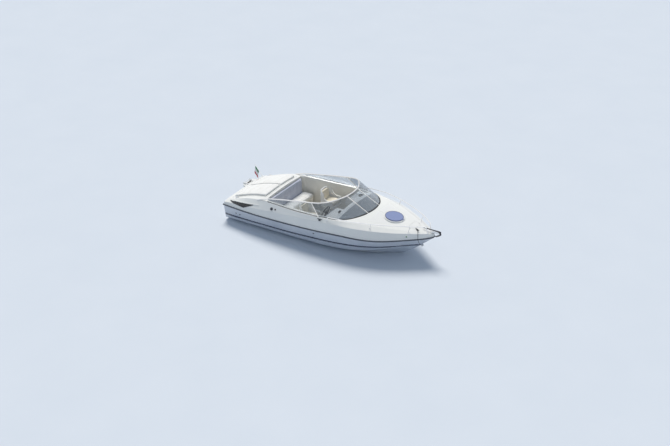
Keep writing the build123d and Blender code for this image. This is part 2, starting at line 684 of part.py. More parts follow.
# Stainless rails
RAIL = ((3430, 1052, 872), (3470, 1052, 1052), (4100, 1008, 1078), (4680, 838, 1082),
        (5180, 610, 1078), (5600, 380, 1066), (5935, 130, 1030), (5975, 98, 855))
RAIL_RADII = (55, 500, 500, 600, 600, 60)
rail = tube(RAIL, RAIL_RADII, RAIL_RADIUS)
for x, b in ((4680, 800), (5600, 355)):
    top = [p for p in RAIL if p[0] == x][0]
    rail += rod((x - 60, b, deck_z(x - 60, b) - 15), (x - 8, top[1] - 3, top[2] - 4), 10)
    rail += rod((x - 60, b, deck_z(x - 60, b) - 12), (x - 60, b, deck_z(x - 60, b) + 8), FOOT_RADIUS)
for x, b in ((RAIL[0][0] + 22, RAIL[0][1]), (RAIL[-1][0], RAIL[-1][1])):
    z = deck_z(x, b)
    rail += rod((x, b, z - 14), (x, b, z + 10), FOOT_RADIUS)
rail = rail - outer
keep("bow_rail_port", rail)
keep("bow_rail_starboard", flip(rail))

# Bow roller, anchor and fittings
roller_z = 900.0
roller = box((5900, 6290), (-36, 36), (roller_z - 34, roller_z - 26))
cheek = side_prism([(5960, roller_z - 30), (6290, roller_z - 30), (6275, roller_z + 12),
                    (6200, roller_z + 22), (6050, roller_z - 8)], 30, 36)
roller += cheek + flip(cheek)
roller += box((5880, 6080), (-50, 50), (800, roller_z - 26))
roller += rod((6255, -33, roller_z - 4), (6255, 33, roller_z - 4), 6)
keep("bow_roller", roller - outer)
wheel_roller = rod((6255, -28, roller_z - 4), (6255, 28, roller_z - 4), 20)
keep("roller_wheel", wheel_roller - rod((6255, -40, roller_z - 4), (6255, 40, roller_z - 4), 6.2))
shank_z = roller_z - 4 + 20 + SEAT_GAP
anchor = box((5790, 6290), (-8, 8), (shank_z, shank_z + 22))
anchor += side_prism([(6280, shank_z + 22), (6320, shank_z + 10), (6318, 840), (6296, 838),
                      (6290, shank_z)], -8, 8)
fluke = side_prism([(6322, 846), (6322, 834), (6165, 752), (6160, 764)], -70, 70)
fluke = fluke & prism([(6322, -40), (6322, 40), (6240, 70), (6160, 14), (6160, -14), (6240, -70)], 600, 1000)
keep("anchor", anchor + fluke)


def cleat(x, y, size, turn=0.0):
    """Horn cleat standing on the deck."""
    base = deck_z(x, abs(y))
    body = box((-size * 0.2, size * 0.2), (-14, 14), (-20, 26))
    horn = rod((-size / 2, 0, 32), (size / 2, 0, 32), 9)
    return Pos(x, y, base) * Rot(0, 0, turn) * (body + horn) - outer


keep("bow_cleat", cleat(5705, -165, 150, -24))
keep("midship_cleats", pair(cleat(3250, 1100, 150)))
keep("stern_cleats", pair(cleat(330, 835, 150)))

eye = box((5720, 5835), (-EYE_THICK / 2, EYE_THICK / 2), (385, 425))
eye = fillet(eye.edges().filter_by(Axis.Y).group_by(Axis.X)[-1], 19)
eye = eye - rod((EYE_X, -20, EYE_Z), (EYE_X, 20, EYE_Z), EYE_BORE)
keep("bow_eye", eye - outer)
y = STERN_EYE_Y
eye = box((-STERN_EYE_REACH - 18, 20), (y - EYE_THICK / 2, y + EYE_THICK / 2),
          (STERN_EYE_Z - 19, STERN_EYE_Z + 19))
eye = fillet(eye.edges().filter_by(Axis.Y).group_by(Axis.X)[0], 18)
eye = eye - rod((-STERN_EYE_REACH, y - 20, STERN_EYE_Z), (-STERN_EYE_REACH, y + 20, STERN_EYE_Z),
                EYE_BORE)
keep("stern_eyes", pair(eye - outer))

# Air intakes
backing = side_prism(INTAKE, SIDE_NEAR, SIDE_FAR) & body_loft(-INTAKE_BACK) - outer
hole = side_prism(INTAKE_INNER, SIDE_NEAR, SIDE_FAR)
for i in range(LOUVRES):
    x = INTAKE_INNER[0][0] + (INTAKE_INNER[1][0] - INTAKE_INNER[0][0]) * (i + 0.7) / LOUVRES
    hole = hole - side_prism([(x, 600), (x + LOUVRE_WIDE, 600), (x + LOUVRE_WIDE + LOUVRE_LEAN, 800),
                              (x + LOUVRE_LEAN, 800)], SIDE_NEAR, SIDE_FAR)
grille = (side_prism(INTAKE, SIDE_NEAR, SIDE_FAR) - hole) & body_loft(-INTAKE_PROUD) - outer
keep("air_intakes", pair(backing + grille))
filler = Pos(1690, -1095, deck_z(1690, 1095)) * Rot(45, 0, 0) * Cylinder(42, 24) - outer
keep("fuel_filler", filler)

# Swim step and boarding ladder
step = box((-STEP_REACH, 0), (STEP_NEAR, STEP_FAR), (STEP_TOP - STEP_THICK, STEP_TOP))
step = fillet(step.edges().filter_by(Axis.Z).group_by(Axis.X)[0], 90)
for y in (STEP_NEAR + 90, STEP_FAR - 90):
    step += side_prism([(0, STEP_TOP - STEP_THICK), (-260, STEP_TOP - STEP_THICK), (0, STEP_TOP - 190)],
                       y - 12, y + 12)
ladder_z = STEP_TOP + 22
ladder_x = -STEP_REACH - 25
pivot = (LADDER_RAILS[0] - 29, LADDER_RAILS[1] + 29)
for y in pivot:
    step += box((ladder_x - 14, -STEP_REACH + 60), (y - 4, y + 4), (STEP_TOP - 10, ladder_z + 14))
    step = step - rod((ladder_x, y - 9, ladder_z), (ladder_x, y + 9, ladder_z), 8 + SEAT_GAP)
keep("swim_step", step)
ladder = rod((ladder_x, pivot[0] - 5, ladder_z), (ladder_x, pivot[1] + 5, ladder_z), 8)
for y in LADDER_RAILS:
    ladder += rod((ladder_x, y, ladder_z), (ladder_x + LADDER_LENGTH, y, ladder_z), 11)
for i in range(3):
    x = ladder_x + LADDER_LENGTH * (i + 1) / 3 - 12
    ladder += rod((x, LADDER_RAILS[0], ladder_z), (x, LADDER_RAILS[1], ladder_z), 8)
keep("boarding_ladder", ladder)

# Flagstaff and flag
staff_foot = Vector(60, 815, deck_z(60, 815))
staff_way = Vector(-0.27, 0.02, 0.30).normalized()
staff = rod(staff_foot - staff_way * 20, staff_foot + staff_way * 420, 8)
staff += rod(staff_foot - staff_way * 20, staff_foot + staff_way * 50, 17)
staff += Pos(*(staff_foot + staff_way * 424)) * Sphere(13)
keep("flagstaff", staff - outer)
hoist_top = staff_foot + staff_way * 400
hoist_low = staff_foot + staff_way * 210
fly = Vector(-0.2, 0.04, -0.98).normalized()
cloth = Wire.make_polygon([hoist_top, hoist_low, hoist_low + fly * FLAG_FLY,
                           hoist_top + fly * FLAG_FLY], close=True)
cloth_way = (hoist_low - hoist_top).cross(fly).normalized()
cloth = Solid.extrude(Face(cloth), cloth_way * FLAG_THICK)
keep("flag", cloth - rod(staff_foot, staff_foot + staff_way * 430, 8.3))

# Sterndrive
def across(x, z, reach, radius):
    """Round bar across the boat, as far to port as to starboard."""
    return rod((x, -reach, z), (x, reach, z), radius)


shield = box((-SHIELD, 0), (-SHIELD_HALF, SHIELD_HALF), (SHIELD_LOW, SHIELD_HIGH))
shield = fillet(shield.edges().filter_by(Axis.X), SHIELD_ROUND)
bracket_top = YOKE_HIGH + BRACKET_GAP + BRACKET
bracket_low = YOKE_LOW - BRACKET_GAP - BRACKET
for low in (bracket_low, bracket_top - BRACKET):
    shield += box((STEER_X - BRACKET_EDGE, -SHIELD / 2), (-BRACKET_HALF, BRACKET_HALF), (low, low + BRACKET))
shield = shield - rod((STEER_X, 0, -300), (STEER_X, 0, 300), STEER_PIN + PIN_GAP)
keep("transom_shield", shield)

yoke_inner = YOKE_HALF - YOKE_WALL
ring = box((STEER_X - YOKE_AFT, STEER_X + YOKE_FORE), (-YOKE_HALF, YOKE_HALF), (YOKE_LOW, YOKE_HIGH))
ring = fillet(ring.edges().filter_by(Axis.X), YOKE_ROUND)
ring = ring - box((STEER_X - 200, STEER_X + YOKE_FORE - YOKE_PLATE), (-yoke_inner, yoke_inner),
                  (YOKE_LOW + YOKE_FLOOR, YOKE_HIGH + 100))
ring += rod((STEER_X, 0, YOKE_HIGH - 14), (STEER_X, 0, bracket_top + 8), STEER_PIN)
ring += rod((STEER_X, 0, bracket_low - 8), (STEER_X, 0, YOKE_LOW + 18), STEER_PIN)
ring = ring - across(TRIM_X, TRIM_Z, YOKE_HALF + 30, TRIM_PIN + PIN_GAP)
for side in (1, -1):
    ring += rod((RAM_X, side * (YOKE_HALF - 24), RAM_Z), (RAM_X, side * (YOKE_HALF + 6), RAM_Z), RAM_BOSS)
    ring += rod((RAM_X, side * YOKE_HALF, RAM_Z), (RAM_X, side * (RAM_Y + PIN_END), RAM_Z), RAM_PIN)
keep("gimbal_ring", ring)

leg = side_prism([(TRIM_X, TRIM_Z + TRIM_BOSS - 1), (-248, 58), (-300, 85), (-520, 70), (-590, 0),
                  (-570, -120), (-520, -210), (-250, -210), (-215, -120), (TRIM_X, TRIM_Z + 1 - TRIM_BOSS)],
                 -LEG_HALF, LEG_HALF)
leg = fillet(leg.edges().filter_by(Axis.Y).sort_by(Axis.X)[0:2], 30)
leg = leg & prism([(-100, LEG_HALF), (-340, LEG_HALF), (-570, LEG_TAIL), (-610, LEG_TAIL / 2),
                   (-610, -LEG_TAIL / 2), (-570, -LEG_TAIL), (-340, -LEG_HALF), (-100, -LEG_HALF)], -400, 200)
leg += across(TRIM_X, TRIM_Z, LEG_HALF, TRIM_BOSS)
leg += across(TRIM_X, TRIM_Z, YOKE_HALF - 2, TRIM_PIN)
leg += prism([(-250, 0), (-300, 34), (-520, 30), (-600, 6), (-600, -6), (-520, -30), (-300, -34)],
             PROP_Z, -200)
leg += prism([(-240, -40), (-240, 40), (-340, YOKE_HALF), (-700, YOKE_HALF), (-740, 60), (-740, -60),
              (-700, -YOKE_HALF), (-340, -YOKE_HALF)], PLATE_Z, PLATE_Z + PLATE)
leg += rod((CASE_NOSE, 0, PROP_Z), (PROP_X + PROP_REACH + 10, 0, PROP_Z), CASE_RADIUS, PROP_HUB)
leg += Pos(CASE_NOSE, 0, PROP_Z) * Sphere(CASE_RADIUS)
leg += side_prism([(CASE_NOSE, PROP_Z), (-560, PROP_Z), (-560, PROP_Z - SKEG), (-480, PROP_Z - SKEG)], -7, 7)
leg += rod((PROP_X + PROP_REACH + 20, 0, PROP_Z), (PROP_X - PROP_REACH - 5, 0, PROP_Z), PROP_SHAFT)
leg += across(RAM_EYE_X, RAM_EYE_Z, RAM_Y + PIN_END, RAM_EYE_PIN)
keep("drive_leg", leg)

# Blade sections from root to tip: chord and thickness
blade_rows = []
for i, (chord, thick) in enumerate(((95, 16), (130, 11), (140, 8), (60, 4))):
    r = BLADE_ROOT + (PROP_RADIUS - BLADE_ROOT) * i / 3
    pitch = math.atan2(PROP_PITCH, 2 * math.pi * r)
    along = Vector(math.sin(pitch), math.cos(pitch), 0) * (chord / 2)
    out = Vector(math.cos(pitch), -math.sin(pitch), 0) * (thick / 2)
    centre = Vector(0, 0, r)
    blade_rows.append(Wire.make_polygon([centre - along, centre + out, centre + along, centre - out],
                                        close=True))
blade = Solid.make_loft(blade_rows)
prop = rod((PROP_X + PROP_REACH, 0, PROP_Z), (PROP_X - PROP_REACH, 0, PROP_Z), PROP_HUB, PROP_TAIL)
for i in range(BLADES):
    prop += Pos(PROP_X, 0, PROP_Z) * Rot(360 / BLADES * i, 0, 0) * blade
prop = prop - rod((PROP_X + 90, 0, PROP_Z), (PROP_X - 90, 0, PROP_Z), PROP_SHAFT + SEAT_GAP)
keep("propeller", prop)

eye_way = (Vector(RAM_EYE_X, 0, RAM_EYE_Z) - Vector(RAM_X, 0, RAM_Z)).normalized()
eye_bore = RAM_EYE_PIN + RAM_EYE_PLAY
for side, name in ((1, "port"), (-1, "starboard")):
    a = Vector(RAM_X, side * RAM_Y, RAM_Z)
    b = Vector(RAM_EYE_X, side * RAM_Y, RAM_EYE_Z)
    half = Vector(0, RAM_EYE_HALF, 0)
    barrel = rod(a + eye_way * 18, a + eye_way * RAM_BARREL, RAM_RADIUS)
    barrel += rod(a - half, a + half, RAM_BOSS)
    barrel = barrel - rod(a - half * 3, a + half * 3, RAM_PIN + SEAT_GAP)
    barrel = barrel - rod(a + eye_way * (ROD_INSIDE - 10), a + eye_way * (RAM_BARREL + 10),
                          ROD_RADIUS + SEAT_GAP)
    keep("trim_cylinder_" + name, barrel)
    ram = rod(a + eye_way * ROD_INSIDE, b - eye_way * (eye_bore + 3), ROD_RADIUS)
    ram += rod(b - half, b + half, eye_bore + RAM_EYE_WALL)
    ram = ram - rod(b - half * 3, b + half * 3, eye_bore)
    keep("trim_rod_" + name, ram)

# Mooring line from the bow cleat to the bow eye
LINE = ((5705, -165, 918), (5745, -215, 912), (5790, -290, 880), (5818, -345, 800), (5835, -352, 690),
        (5848, -300, 590), (5850, -210, 500), (5846, -120, 430), (EYE_X + 6, -60, 402),
        (EYE_X, -12, 405))
keep("mooring_line", tube(LINE, corner_radii(LINE), LINE_RADIUS))

os.makedirs("parts", exist_ok=True)
for name, shape in parts.items():
    solids = [Pos(-ORIGIN_STATION, 0, 0) * solid for solid in shape.solids()]
    export_step(solids[0] if len(solids) == 1 else Compound(solids), "parts/%s.step" % name)
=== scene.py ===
"""Finishes and soft goods of a cuddy sport boat with a sterndrive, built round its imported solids.

Lengths are metres in the boat's own frame: X to the bow, Y to port, Z up from the waterline, with
the origin amidships. Tables that repeat the solids' numbers give stations in millimetres from the
transom, and place() turns them into the frame.
"""
from __future__ import annotations

import json
import logging
import math
from dataclasses import dataclass, field
from enum import Enum

import bmesh
import bpy
import numpy as np
from bpy.types import Material, Mesh, Node, NodeSocket, NodeTree, Object
from mathutils import Matrix, Vector
from mathutils.bvhtree import BVHTree

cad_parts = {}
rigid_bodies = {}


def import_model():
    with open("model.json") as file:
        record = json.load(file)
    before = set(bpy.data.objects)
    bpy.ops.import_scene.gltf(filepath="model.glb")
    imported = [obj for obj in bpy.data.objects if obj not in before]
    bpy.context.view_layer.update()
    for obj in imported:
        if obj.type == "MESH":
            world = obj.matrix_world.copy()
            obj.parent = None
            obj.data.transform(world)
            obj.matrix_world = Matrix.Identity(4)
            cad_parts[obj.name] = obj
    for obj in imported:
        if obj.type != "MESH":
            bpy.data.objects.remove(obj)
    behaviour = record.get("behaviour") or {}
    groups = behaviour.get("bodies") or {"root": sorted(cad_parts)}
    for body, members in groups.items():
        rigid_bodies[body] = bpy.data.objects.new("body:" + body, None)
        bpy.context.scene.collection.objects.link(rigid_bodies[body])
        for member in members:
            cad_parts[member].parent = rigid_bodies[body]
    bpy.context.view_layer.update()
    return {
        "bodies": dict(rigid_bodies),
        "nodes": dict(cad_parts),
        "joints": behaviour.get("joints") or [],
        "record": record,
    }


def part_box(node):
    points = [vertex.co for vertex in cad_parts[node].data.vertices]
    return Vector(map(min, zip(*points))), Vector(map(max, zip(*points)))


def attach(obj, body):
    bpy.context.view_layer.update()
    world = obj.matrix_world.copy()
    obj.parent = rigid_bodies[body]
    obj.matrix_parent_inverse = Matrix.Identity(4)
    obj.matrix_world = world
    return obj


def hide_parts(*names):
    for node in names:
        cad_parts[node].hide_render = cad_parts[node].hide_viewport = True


LOG = logging.getLogger("boat")
ORIGIN_STATION = 2700.0
AHEAD = Vector((1, 0, 0))
UP = Vector((0, 0, 1))
OVERHEAD = 3.0

Colour = tuple[float, float, float, float]
Point = tuple[float, float, float]
Span = tuple[float, float]


class Body(str, Enum):
    """Moving bodies that pieces ride on."""

    BOAT = "boat"
    ENGINE_LID = "engine_lid"
    LOCKER_LID = "locker_lid"
    CABIN_DOOR = "cabin_door"
    HATCH_LID = "hatch_lid"
    HELM_SEAT = "helm_seat"
    COMPANION_SEAT = "companion_seat"
    WHEEL = "wheel"
    LADDER = "ladder"
    DRIVE = "drive"


def place(station: float, breadth: float, height: float) -> Vector:
    """Point in the frame, in metres, from a station, breadth and height in millimetres."""
    return Vector(((station - ORIGIN_STATION) / 1000, breadth / 1000, height / 1000))


def srgb(red: int, green: int, blue: int) -> Colour:
    """Linear colour from the usual 0 to 255 values.

    Args:
        red: red from 0 to 255.
        green: green from 0 to 255.
        blue: blue from 0 to 255.

    Returns:
        The colour with full alpha.
    """
    def linear(value: int) -> float:
        """One channel made linear."""
        share = value / 255
        return share / 12.92 if share <= 0.04045 else ((share + 0.055) / 1.055) ** 2.4

    return (linear(red), linear(green), linear(blue), 1.0)


def tinted(colour: Colour, share: float, lift: float = 0.0) -> Colour:
    """A share of a colour, lifted, and no brighter than white."""
    return (*(min(1.0, share * part + lift) for part in colour[:3]), 1.0)


class Nodes:
    """Node tree with short calls that add nodes and feed their inputs."""

    def __init__(self, tree: NodeTree) -> None:
        """Work on a tree."""
        self.tree = tree

    def feed(self, socket: NodeSocket, value: object) -> None:
        """Link a socket, or set its own value.

        Args:
            socket: the input to feed.
            value: another node's output, or a plain value.
        """
        if isinstance(value, NodeSocket):
            self.tree.links.new(value, socket)
        else:
            socket.default_value = value

    def node(self, kind: str, settings: dict[str, object] | None = None,
             **inputs: object) -> Node:
        """Add a node.

        Args:
            kind: the node's type name.
            settings: properties of the node itself.
            inputs: values or sockets by input name, with _ for a space.

        Returns:
            The new node.
        """
        made = self.tree.nodes.new(kind)
        for key, value in (settings or {}).items():
            setattr(made, key, value)
        for key, value in inputs.items():
            self.feed(made.inputs[key.replace("_", " ")], value)
        return made

    def filled(self, kind: str, *values: object, **settings: object) -> Node:
        """Add a node and feed its first inputs in their order.

        Args:
            kind: the node's type name.
            values: values or sockets for its first inputs.
            settings: properties of the node itself.

        Returns:
            The new node.
        """
        made = self.node(kind, settings)
        for socket, value in zip(made.inputs, values):
            self.feed(socket, value)
        return made

    def math(self, operation: str, *values: object, clamp: bool = False) -> NodeSocket:
        """One arithmetic step."""
        return self.filled("ShaderNodeMath", *values, operation=operation, use_clamp=clamp).outputs[0]


class Shader(Nodes):
    """Node tree of one material, with short calls for the nodes that the finishes share."""

    def __init__(self, name: str) -> None:
        """Start an empty material that ends in one surface shader.

        Args:
            name: the material's name.
        """
        self.material = bpy.data.materials.new(name)
        self.material.use_nodes = True
        super().__init__(self.material.node_tree)
        self.tree.nodes.clear()
        self.output = self.node("ShaderNodeOutputMaterial")
        self.surface = self.node("ShaderNodeBsdfPrincipled")
        self.feed(self.output.inputs[0], self.surface.outputs[0])
        coordinates = self.node("ShaderNodeTexCoord")
        self.place = coordinates.outputs["Object"]
        self.chart = coordinates.outputs["UV"]

    def stretched(self, scale: Point) -> NodeSocket:
        """The object's own coordinates, scaled."""
        return self.node("ShaderNodeMapping", Vector=self.place, Scale=scale).outputs[0]

    def noise(self, scale: float, detail: float = 3.0, roughness: float = 0.55,
              vector: NodeSocket | None = None) -> NodeSocket:
        """Soft noise from 0 to 1."""
        return self.node("ShaderNodeTexNoise", Vector=vector or self.place, Scale=scale,
                         Detail=detail, Roughness=roughness).outputs[0]

    def cells(self, scale: float, feature: str = "F1") -> NodeSocket:
        """Distance to the nearest point of a scattered set, or to the edge of its cell."""
        return self.node("ShaderNodeTexVoronoi", {"feature": feature}, Vector=self.place,
                         Scale=scale).outputs["Distance"]

    def span(self, value: object, low: float, high: float, to_low: float = 0.0,
             to_high: float = 1.0) -> NodeSocket:
        """The value's part of one span carried over to another, clamped."""
        return self.filled("ShaderNodeMapRange", value, low, high, to_low, to_high).outputs[0]

    def blend(self, factor: object, first: object, second: object) -> NodeSocket:
        """First colour at 0, second at 1.

        Args:
            factor: share of the second colour.
            first: colour or socket at 0.
            second: colour or socket at 1.

        Returns:
            The mixed colour.
        """
        made = self.node("ShaderNodeMix", {"data_type": "RGBA"})
        for index, value in ((0, factor), (6, first), (7, second)):
            self.feed(made.inputs[index], value)
        return made.outputs[2]

    def axis(self, name: str, vector: NodeSocket | None = None) -> NodeSocket:
        """One coordinate of a vector, or of the object's own place."""
        return self.filled("ShaderNodeSeparateXYZ", vector or self.place).outputs[name]

    def curve(self, value: NodeSocket, points: tuple[Span, ...],
              straight: bool = False) -> NodeSocket:
        """Curve through points from 0 to 1, smooth or in straight runs.

        Args:
            value: the socket to read.
            points: places across and up.
            straight: whether the runs between points are straight.

        Returns:
            The curve's height.
        """
        made = self.node("ShaderNodeFloatCurve")
        line = made.mapping.curves[0]
        line.points[0].location = points[0]
        line.points[1].location = points[-1]
        for across, up in points[1:-1]:
            line.points.new(across, up)
        for point in line.points:
            point.handle_type = "VECTOR" if straight else "AUTO"
        made.mapping.update()
        self.feed(made.inputs["Value"], value)
        return made.outputs[0]

    def bump(self, height: object, strength: float, distance: float,
             under: NodeSocket | None = None) -> NodeSocket:
        """Surface relief from a height, on top of another one if given.

        Args:
            height: the relief's height.
            strength: how much of it shows.
            distance: its depth in metres.
            under: the relief below it.

        Returns:
            The bent normal.
        """
        made = self.node("ShaderNodeBump", Height=height, Strength=strength, Distance=distance)
        if under is not None:
            self.feed(made.inputs["Normal"], under)
        return made.outputs[0]

    def finish(self, base: object, roughness: object, normal: object = None,
               **constants: float) -> Material:
        """Set the surface.

        Args:
            base: base colour, or the socket that gives it.
            roughness: roughness, or the socket that gives it.
            normal: relief, if there is any.
            constants: further inputs of the surface by name, with _ for a space.

        Returns:
            The finished material.
        """
        self.feed(self.surface.inputs["Base Color"], base)
        self.feed(self.surface.inputs["Roughness"], roughness)
        if normal is not None:
            self.feed(self.surface.inputs["Normal"], normal)
        for key, value in constants.items():
            self.surface.inputs[key.replace("_", " ")].default_value = value
        return self.material


@dataclass(frozen=True)
class Band:
    """Stripe along the topside: how far below the leading line it lies, and its half height."""

    drop: float
    half: float
    colour: Colour


@dataclass(frozen=True)
class Gelcoat:
    """Polished polyester coat with faint clouding, orange peel and dust in its low gloss."""

    name: str
    colour: Colour
    cloud: Colour
    roughness: float = 0.2

    def colours(self, shader: Shader) -> object:
        """Base colour with slow clouding and fine dust.

        Args:
            shader: the material's node tree

        Returns:
            The socket that gives the colour.
        """
        clouds = shader.span(shader.noise(1.6, 4.0), 0.4, 0.72)
        dust = shader.span(shader.noise(38.0, 6.0, 0.7), 0.55, 0.8, 0.0, 0.25)
        return shader.blend(shader.math("ADD", clouds, dust, clamp=True), self.colour, self.cloud)

    def build(self) -> Material:
        """The coat as a material.

        Returns:
            The finished material.
        """
        shader = Shader(self.name)
        relief = shader.bump(shader.noise(130.0, 2.0), 0.05, 0.0008)
        roughness = shader.span(shader.noise(7.0, 4.0), 0.3, 0.75, self.roughness - 0.05,
                                self.roughness + 0.08)
        return shader.finish(self.colours(shader), roughness, relief, Coat_Weight=0.25,
                             Coat_Roughness=0.08)


@dataclass(frozen=True)
class PanelGelcoat(Gelcoat):
    """Coat with moulded non-skid panels: limits along X, |Y| and Z, and how fast |Y| narrows."""

    panels: tuple[tuple[Span, Span, Span], ...] = ()
    taper: float = 0.0
    clearing: Point | None = None
    panel_colour: Colour = (0.84, 0.84, 0.83, 1.0)
    ease: float = 0.006

    def mask(self, shader: Shader) -> NodeSocket:
        """1 on the panels, 0 beside them and round the clearing.

        Args:
            shader: the material's node tree

        Returns:
            The socket that gives the mask.
        """
        whole = None
        for panel in self.panels:
            inside = None
            for name, (low, high) in zip("XYZ", panel):
                near = far = shader.axis(name)
                if name == "Y":
                    near = shader.math("ABSOLUTE", near)
                    along = shader.math("SUBTRACT", shader.axis("X"), panel[0][0])
                    far = shader.math("ADD", near, shader.math("MULTIPLY", along, self.taper))
                part = shader.math("MULTIPLY", shader.span(near, low, low + self.ease),
                                   shader.span(far, high - self.ease, high, 1.0, 0.0))
                inside = part if inside is None else shader.math("MULTIPLY", inside, part)
            whole = inside if whole is None else shader.math("MAXIMUM", whole, inside)
        if self.clearing is not None:
            x, y, radius = self.clearing
            near = shader.math("POWER", shader.math("SUBTRACT", shader.axis("X"), x), 2.0)
            side = shader.math("POWER", shader.math("SUBTRACT", shader.axis("Y"), y), 2.0)
            away = shader.math("SQRT", shader.math("ADD", near, side))
            whole = shader.math("MULTIPLY", whole, shader.span(away, radius, radius + self.ease))
        return whole

    def build(self) -> Material:
        """The coat as a material.

        Returns:
            The finished material.
        """
        shader = Shader(self.name)
        mask = self.mask(shader)
        pebbles = shader.span(shader.cells(190.0), 0.1, 0.45, 1.0, 0.0)
        relief = shader.bump(shader.noise(130.0, 2.0), 0.05, 0.0008)
        relief = shader.bump(shader.math("MULTIPLY", mask, pebbles), 0.7, 0.0012, relief)
        relief = shader.bump(mask, 0.8, 0.0015, relief)
        roughness = shader.span(mask, 0.0, 1.0, self.roughness, 0.5)
        colour = shader.blend(shader.math("MULTIPLY", mask, 0.6), self.colours(shader),
                              self.panel_colour)
        return shader.finish(colour, roughness, relief, Coat_Weight=0.2, Coat_Roughness=0.1)


@dataclass(frozen=True)
class DeckGelcoat(PanelGelcoat):
    """Deck coat that is grey on the dash top, inside the foot of the glass."""

    foot: tuple[Span, ...] = ()
    start: float = 3.72
    feather: float = 0.004
    dash_grey: Colour = (0.2, 0.22, 0.24, 1.0)

    def colours(self, shader: Shader) -> object:
        """The deck's coat with the dash top in its own colour.

        Args:
            shader: the material's node tree

        Returns:
            The socket that gives the colour.
        """
        longest = max(station for _, station in self.foot)
        line = tuple((breadth, station / longest) for breadth, station in self.foot)
        reach = shader.curve(shader.math("ABSOLUTE", shader.axis("Y")), line, True)
        station = shader.math("ADD", shader.axis("X"), ORIGIN_STATION / 1000)
        inside = shader.math("SUBTRACT", shader.math("MULTIPLY", reach, longest), station)
        mask = shader.math("MULTIPLY", shader.span(inside, 0.0, self.feather),
                           shader.span(station, self.start, self.start + self.feather))
        return shader.blend(mask, super().colours(shader), self.dash_grey)


@dataclass(frozen=True)
class StripedGelcoat(Gelcoat):
    """Topside coat with tape stripes along a leading line, and a damp edge at the waterline."""

    line: tuple[Span, ...] = ()
    bands: tuple[Band, ...] = ()
    length: float = 6.12
    damp: Span = (0.02, 0.035)
    feather: float = 0.0006
    bottom: Colour = (0.6, 0.62, 0.63, 1.0)
    inside: Colour = (0.79, 0.77, 0.71, 1.0)

    def colours(self, shader: Shader) -> object:
        """Coat, bottom, stripes, and the paint inside the moulding.

        Args:
            shader: the material's node tree

        Returns:
            The socket that gives the colour.
        """
        height = shader.axis("Z")
        along = shader.math("DIVIDE", shader.math("ADD", shader.axis("X"), ORIGIN_STATION / 1000),
                            self.length)
        line = shader.curve(along, self.line)
        base = super().colours(shader)
        scum = shader.noise(14.0, 5.0, 0.6, shader.stretched((1.0, 1.0, 0.2)))
        damp = shader.span(shader.math("ADD", height, shader.math("MULTIPLY", scum, 0.03)),
                           *self.damp, 1.0, 0.0)
        base = shader.blend(damp, base, self.bottom)
        for band in self.bands:
            away = shader.math("ABSOLUTE", shader.math("SUBTRACT", height, shader.math(
                "SUBTRACT", line, band.drop)))
            inside = shader.span(away, band.half - self.feather, band.half + self.feather, 1.0, 0.0)
            base = shader.blend(inside, base, band.colour)
        facing = shader.node("ShaderNodeNewGeometry").outputs["Normal"]
        outward = shader.math("MULTIPLY", shader.axis("Y", facing), shader.axis("Y"))
        return shader.blend(shader.span(outward, -0.02, -0.01, 1.0, 0.0), base, self.inside)


@dataclass(frozen=True)
class Stainless:
    """Polished stainless steel with fine polishing marks and a little water spotting."""

    name: str
    colour: Colour = (0.72, 0.73, 0.74, 1.0)
    roughness: float = 0.14

    def build(self) -> Material:
        """The steel as a material.

        Returns:
            The finished material.
        """
        shader = Shader(self.name)
        marks = shader.noise(60.0, 4.0, 0.6, shader.stretched((1.0, 9.0, 9.0)))
        spots = shader.span(shader.cells(55.0), 0.05, 0.22, 1.0, 0.0)
        roughness = shader.math("ADD", shader.span(marks, 0.3, 0.7, self.roughness,
                                                   self.roughness + 0.1),
                                shader.math("MULTIPLY", spots, 0.08))
        colour = shader.blend(shader.span(marks, 0.3, 0.8), self.colour, tinted(self.colour, 0.86))
        return shader.finish(colour, roughness, shader.bump(marks, 0.04, 0.0004), Metallic=1.0)


@dataclass(frozen=True)
class Glazing:
    """Tinted glass or acrylic sheet."""

    name: str
    colour: Colour
    roughness: float = 0.02
    clear: float = 0.92
    lets_light: bool = False

    def build(self) -> Material:
        """The sheet as a material.

        Returns:
            The finished material.
        """
        shader = Shader(self.name)
        haze = shader.span(shader.noise(5.0, 5.0, 0.6), 0.45, 0.8, self.roughness,
                           self.roughness + 0.05)
        colour = shader.blend(shader.span(shader.noise(0.9, 2.0), 0.3, 0.8), self.colour,
                              tinted(self.colour, 0.9))
        sheet = shader.finish(colour, haze, shader.bump(shader.noise(3.0, 1.0), 0.02, 0.002),
                              Transmission_Weight=self.clear, IOR=1.45)
        if self.lets_light:
            rays = shader.node("ShaderNodeLightPath")
            open_way = shader.node("ShaderNodeBsdfTransparent", Color=(0.93, 0.95, 0.97, 1.0))
            mix = shader.filled("ShaderNodeMixShader", rays.outputs["Is Shadow Ray"],
                                shader.surface.outputs[0], open_way.outputs[0])
            shader.feed(shader.output.inputs[0], mix.outputs[0])
        return sheet


@dataclass(frozen=True)
class Rubber:
    """Matt rubber or soft vinyl section with chalking."""

    name: str
    colour: Colour
    roughness: float = 0.62

    def build(self) -> Material:
        """The rubber as a material.

        Returns:
            The finished material.
        """
        shader = Shader(self.name)
        chalk = shader.noise(24.0, 5.0, 0.65)
        colour = shader.blend(shader.span(chalk, 0.45, 0.85), self.colour,
                              tinted(self.colour, 1.5, 0.02))
        return shader.finish(colour, shader.span(chalk, 0.2, 0.8, self.roughness - 0.1,
                                                 self.roughness + 0.12),
                             shader.bump(shader.noise(320.0, 2.0), 0.12, 0.0005))


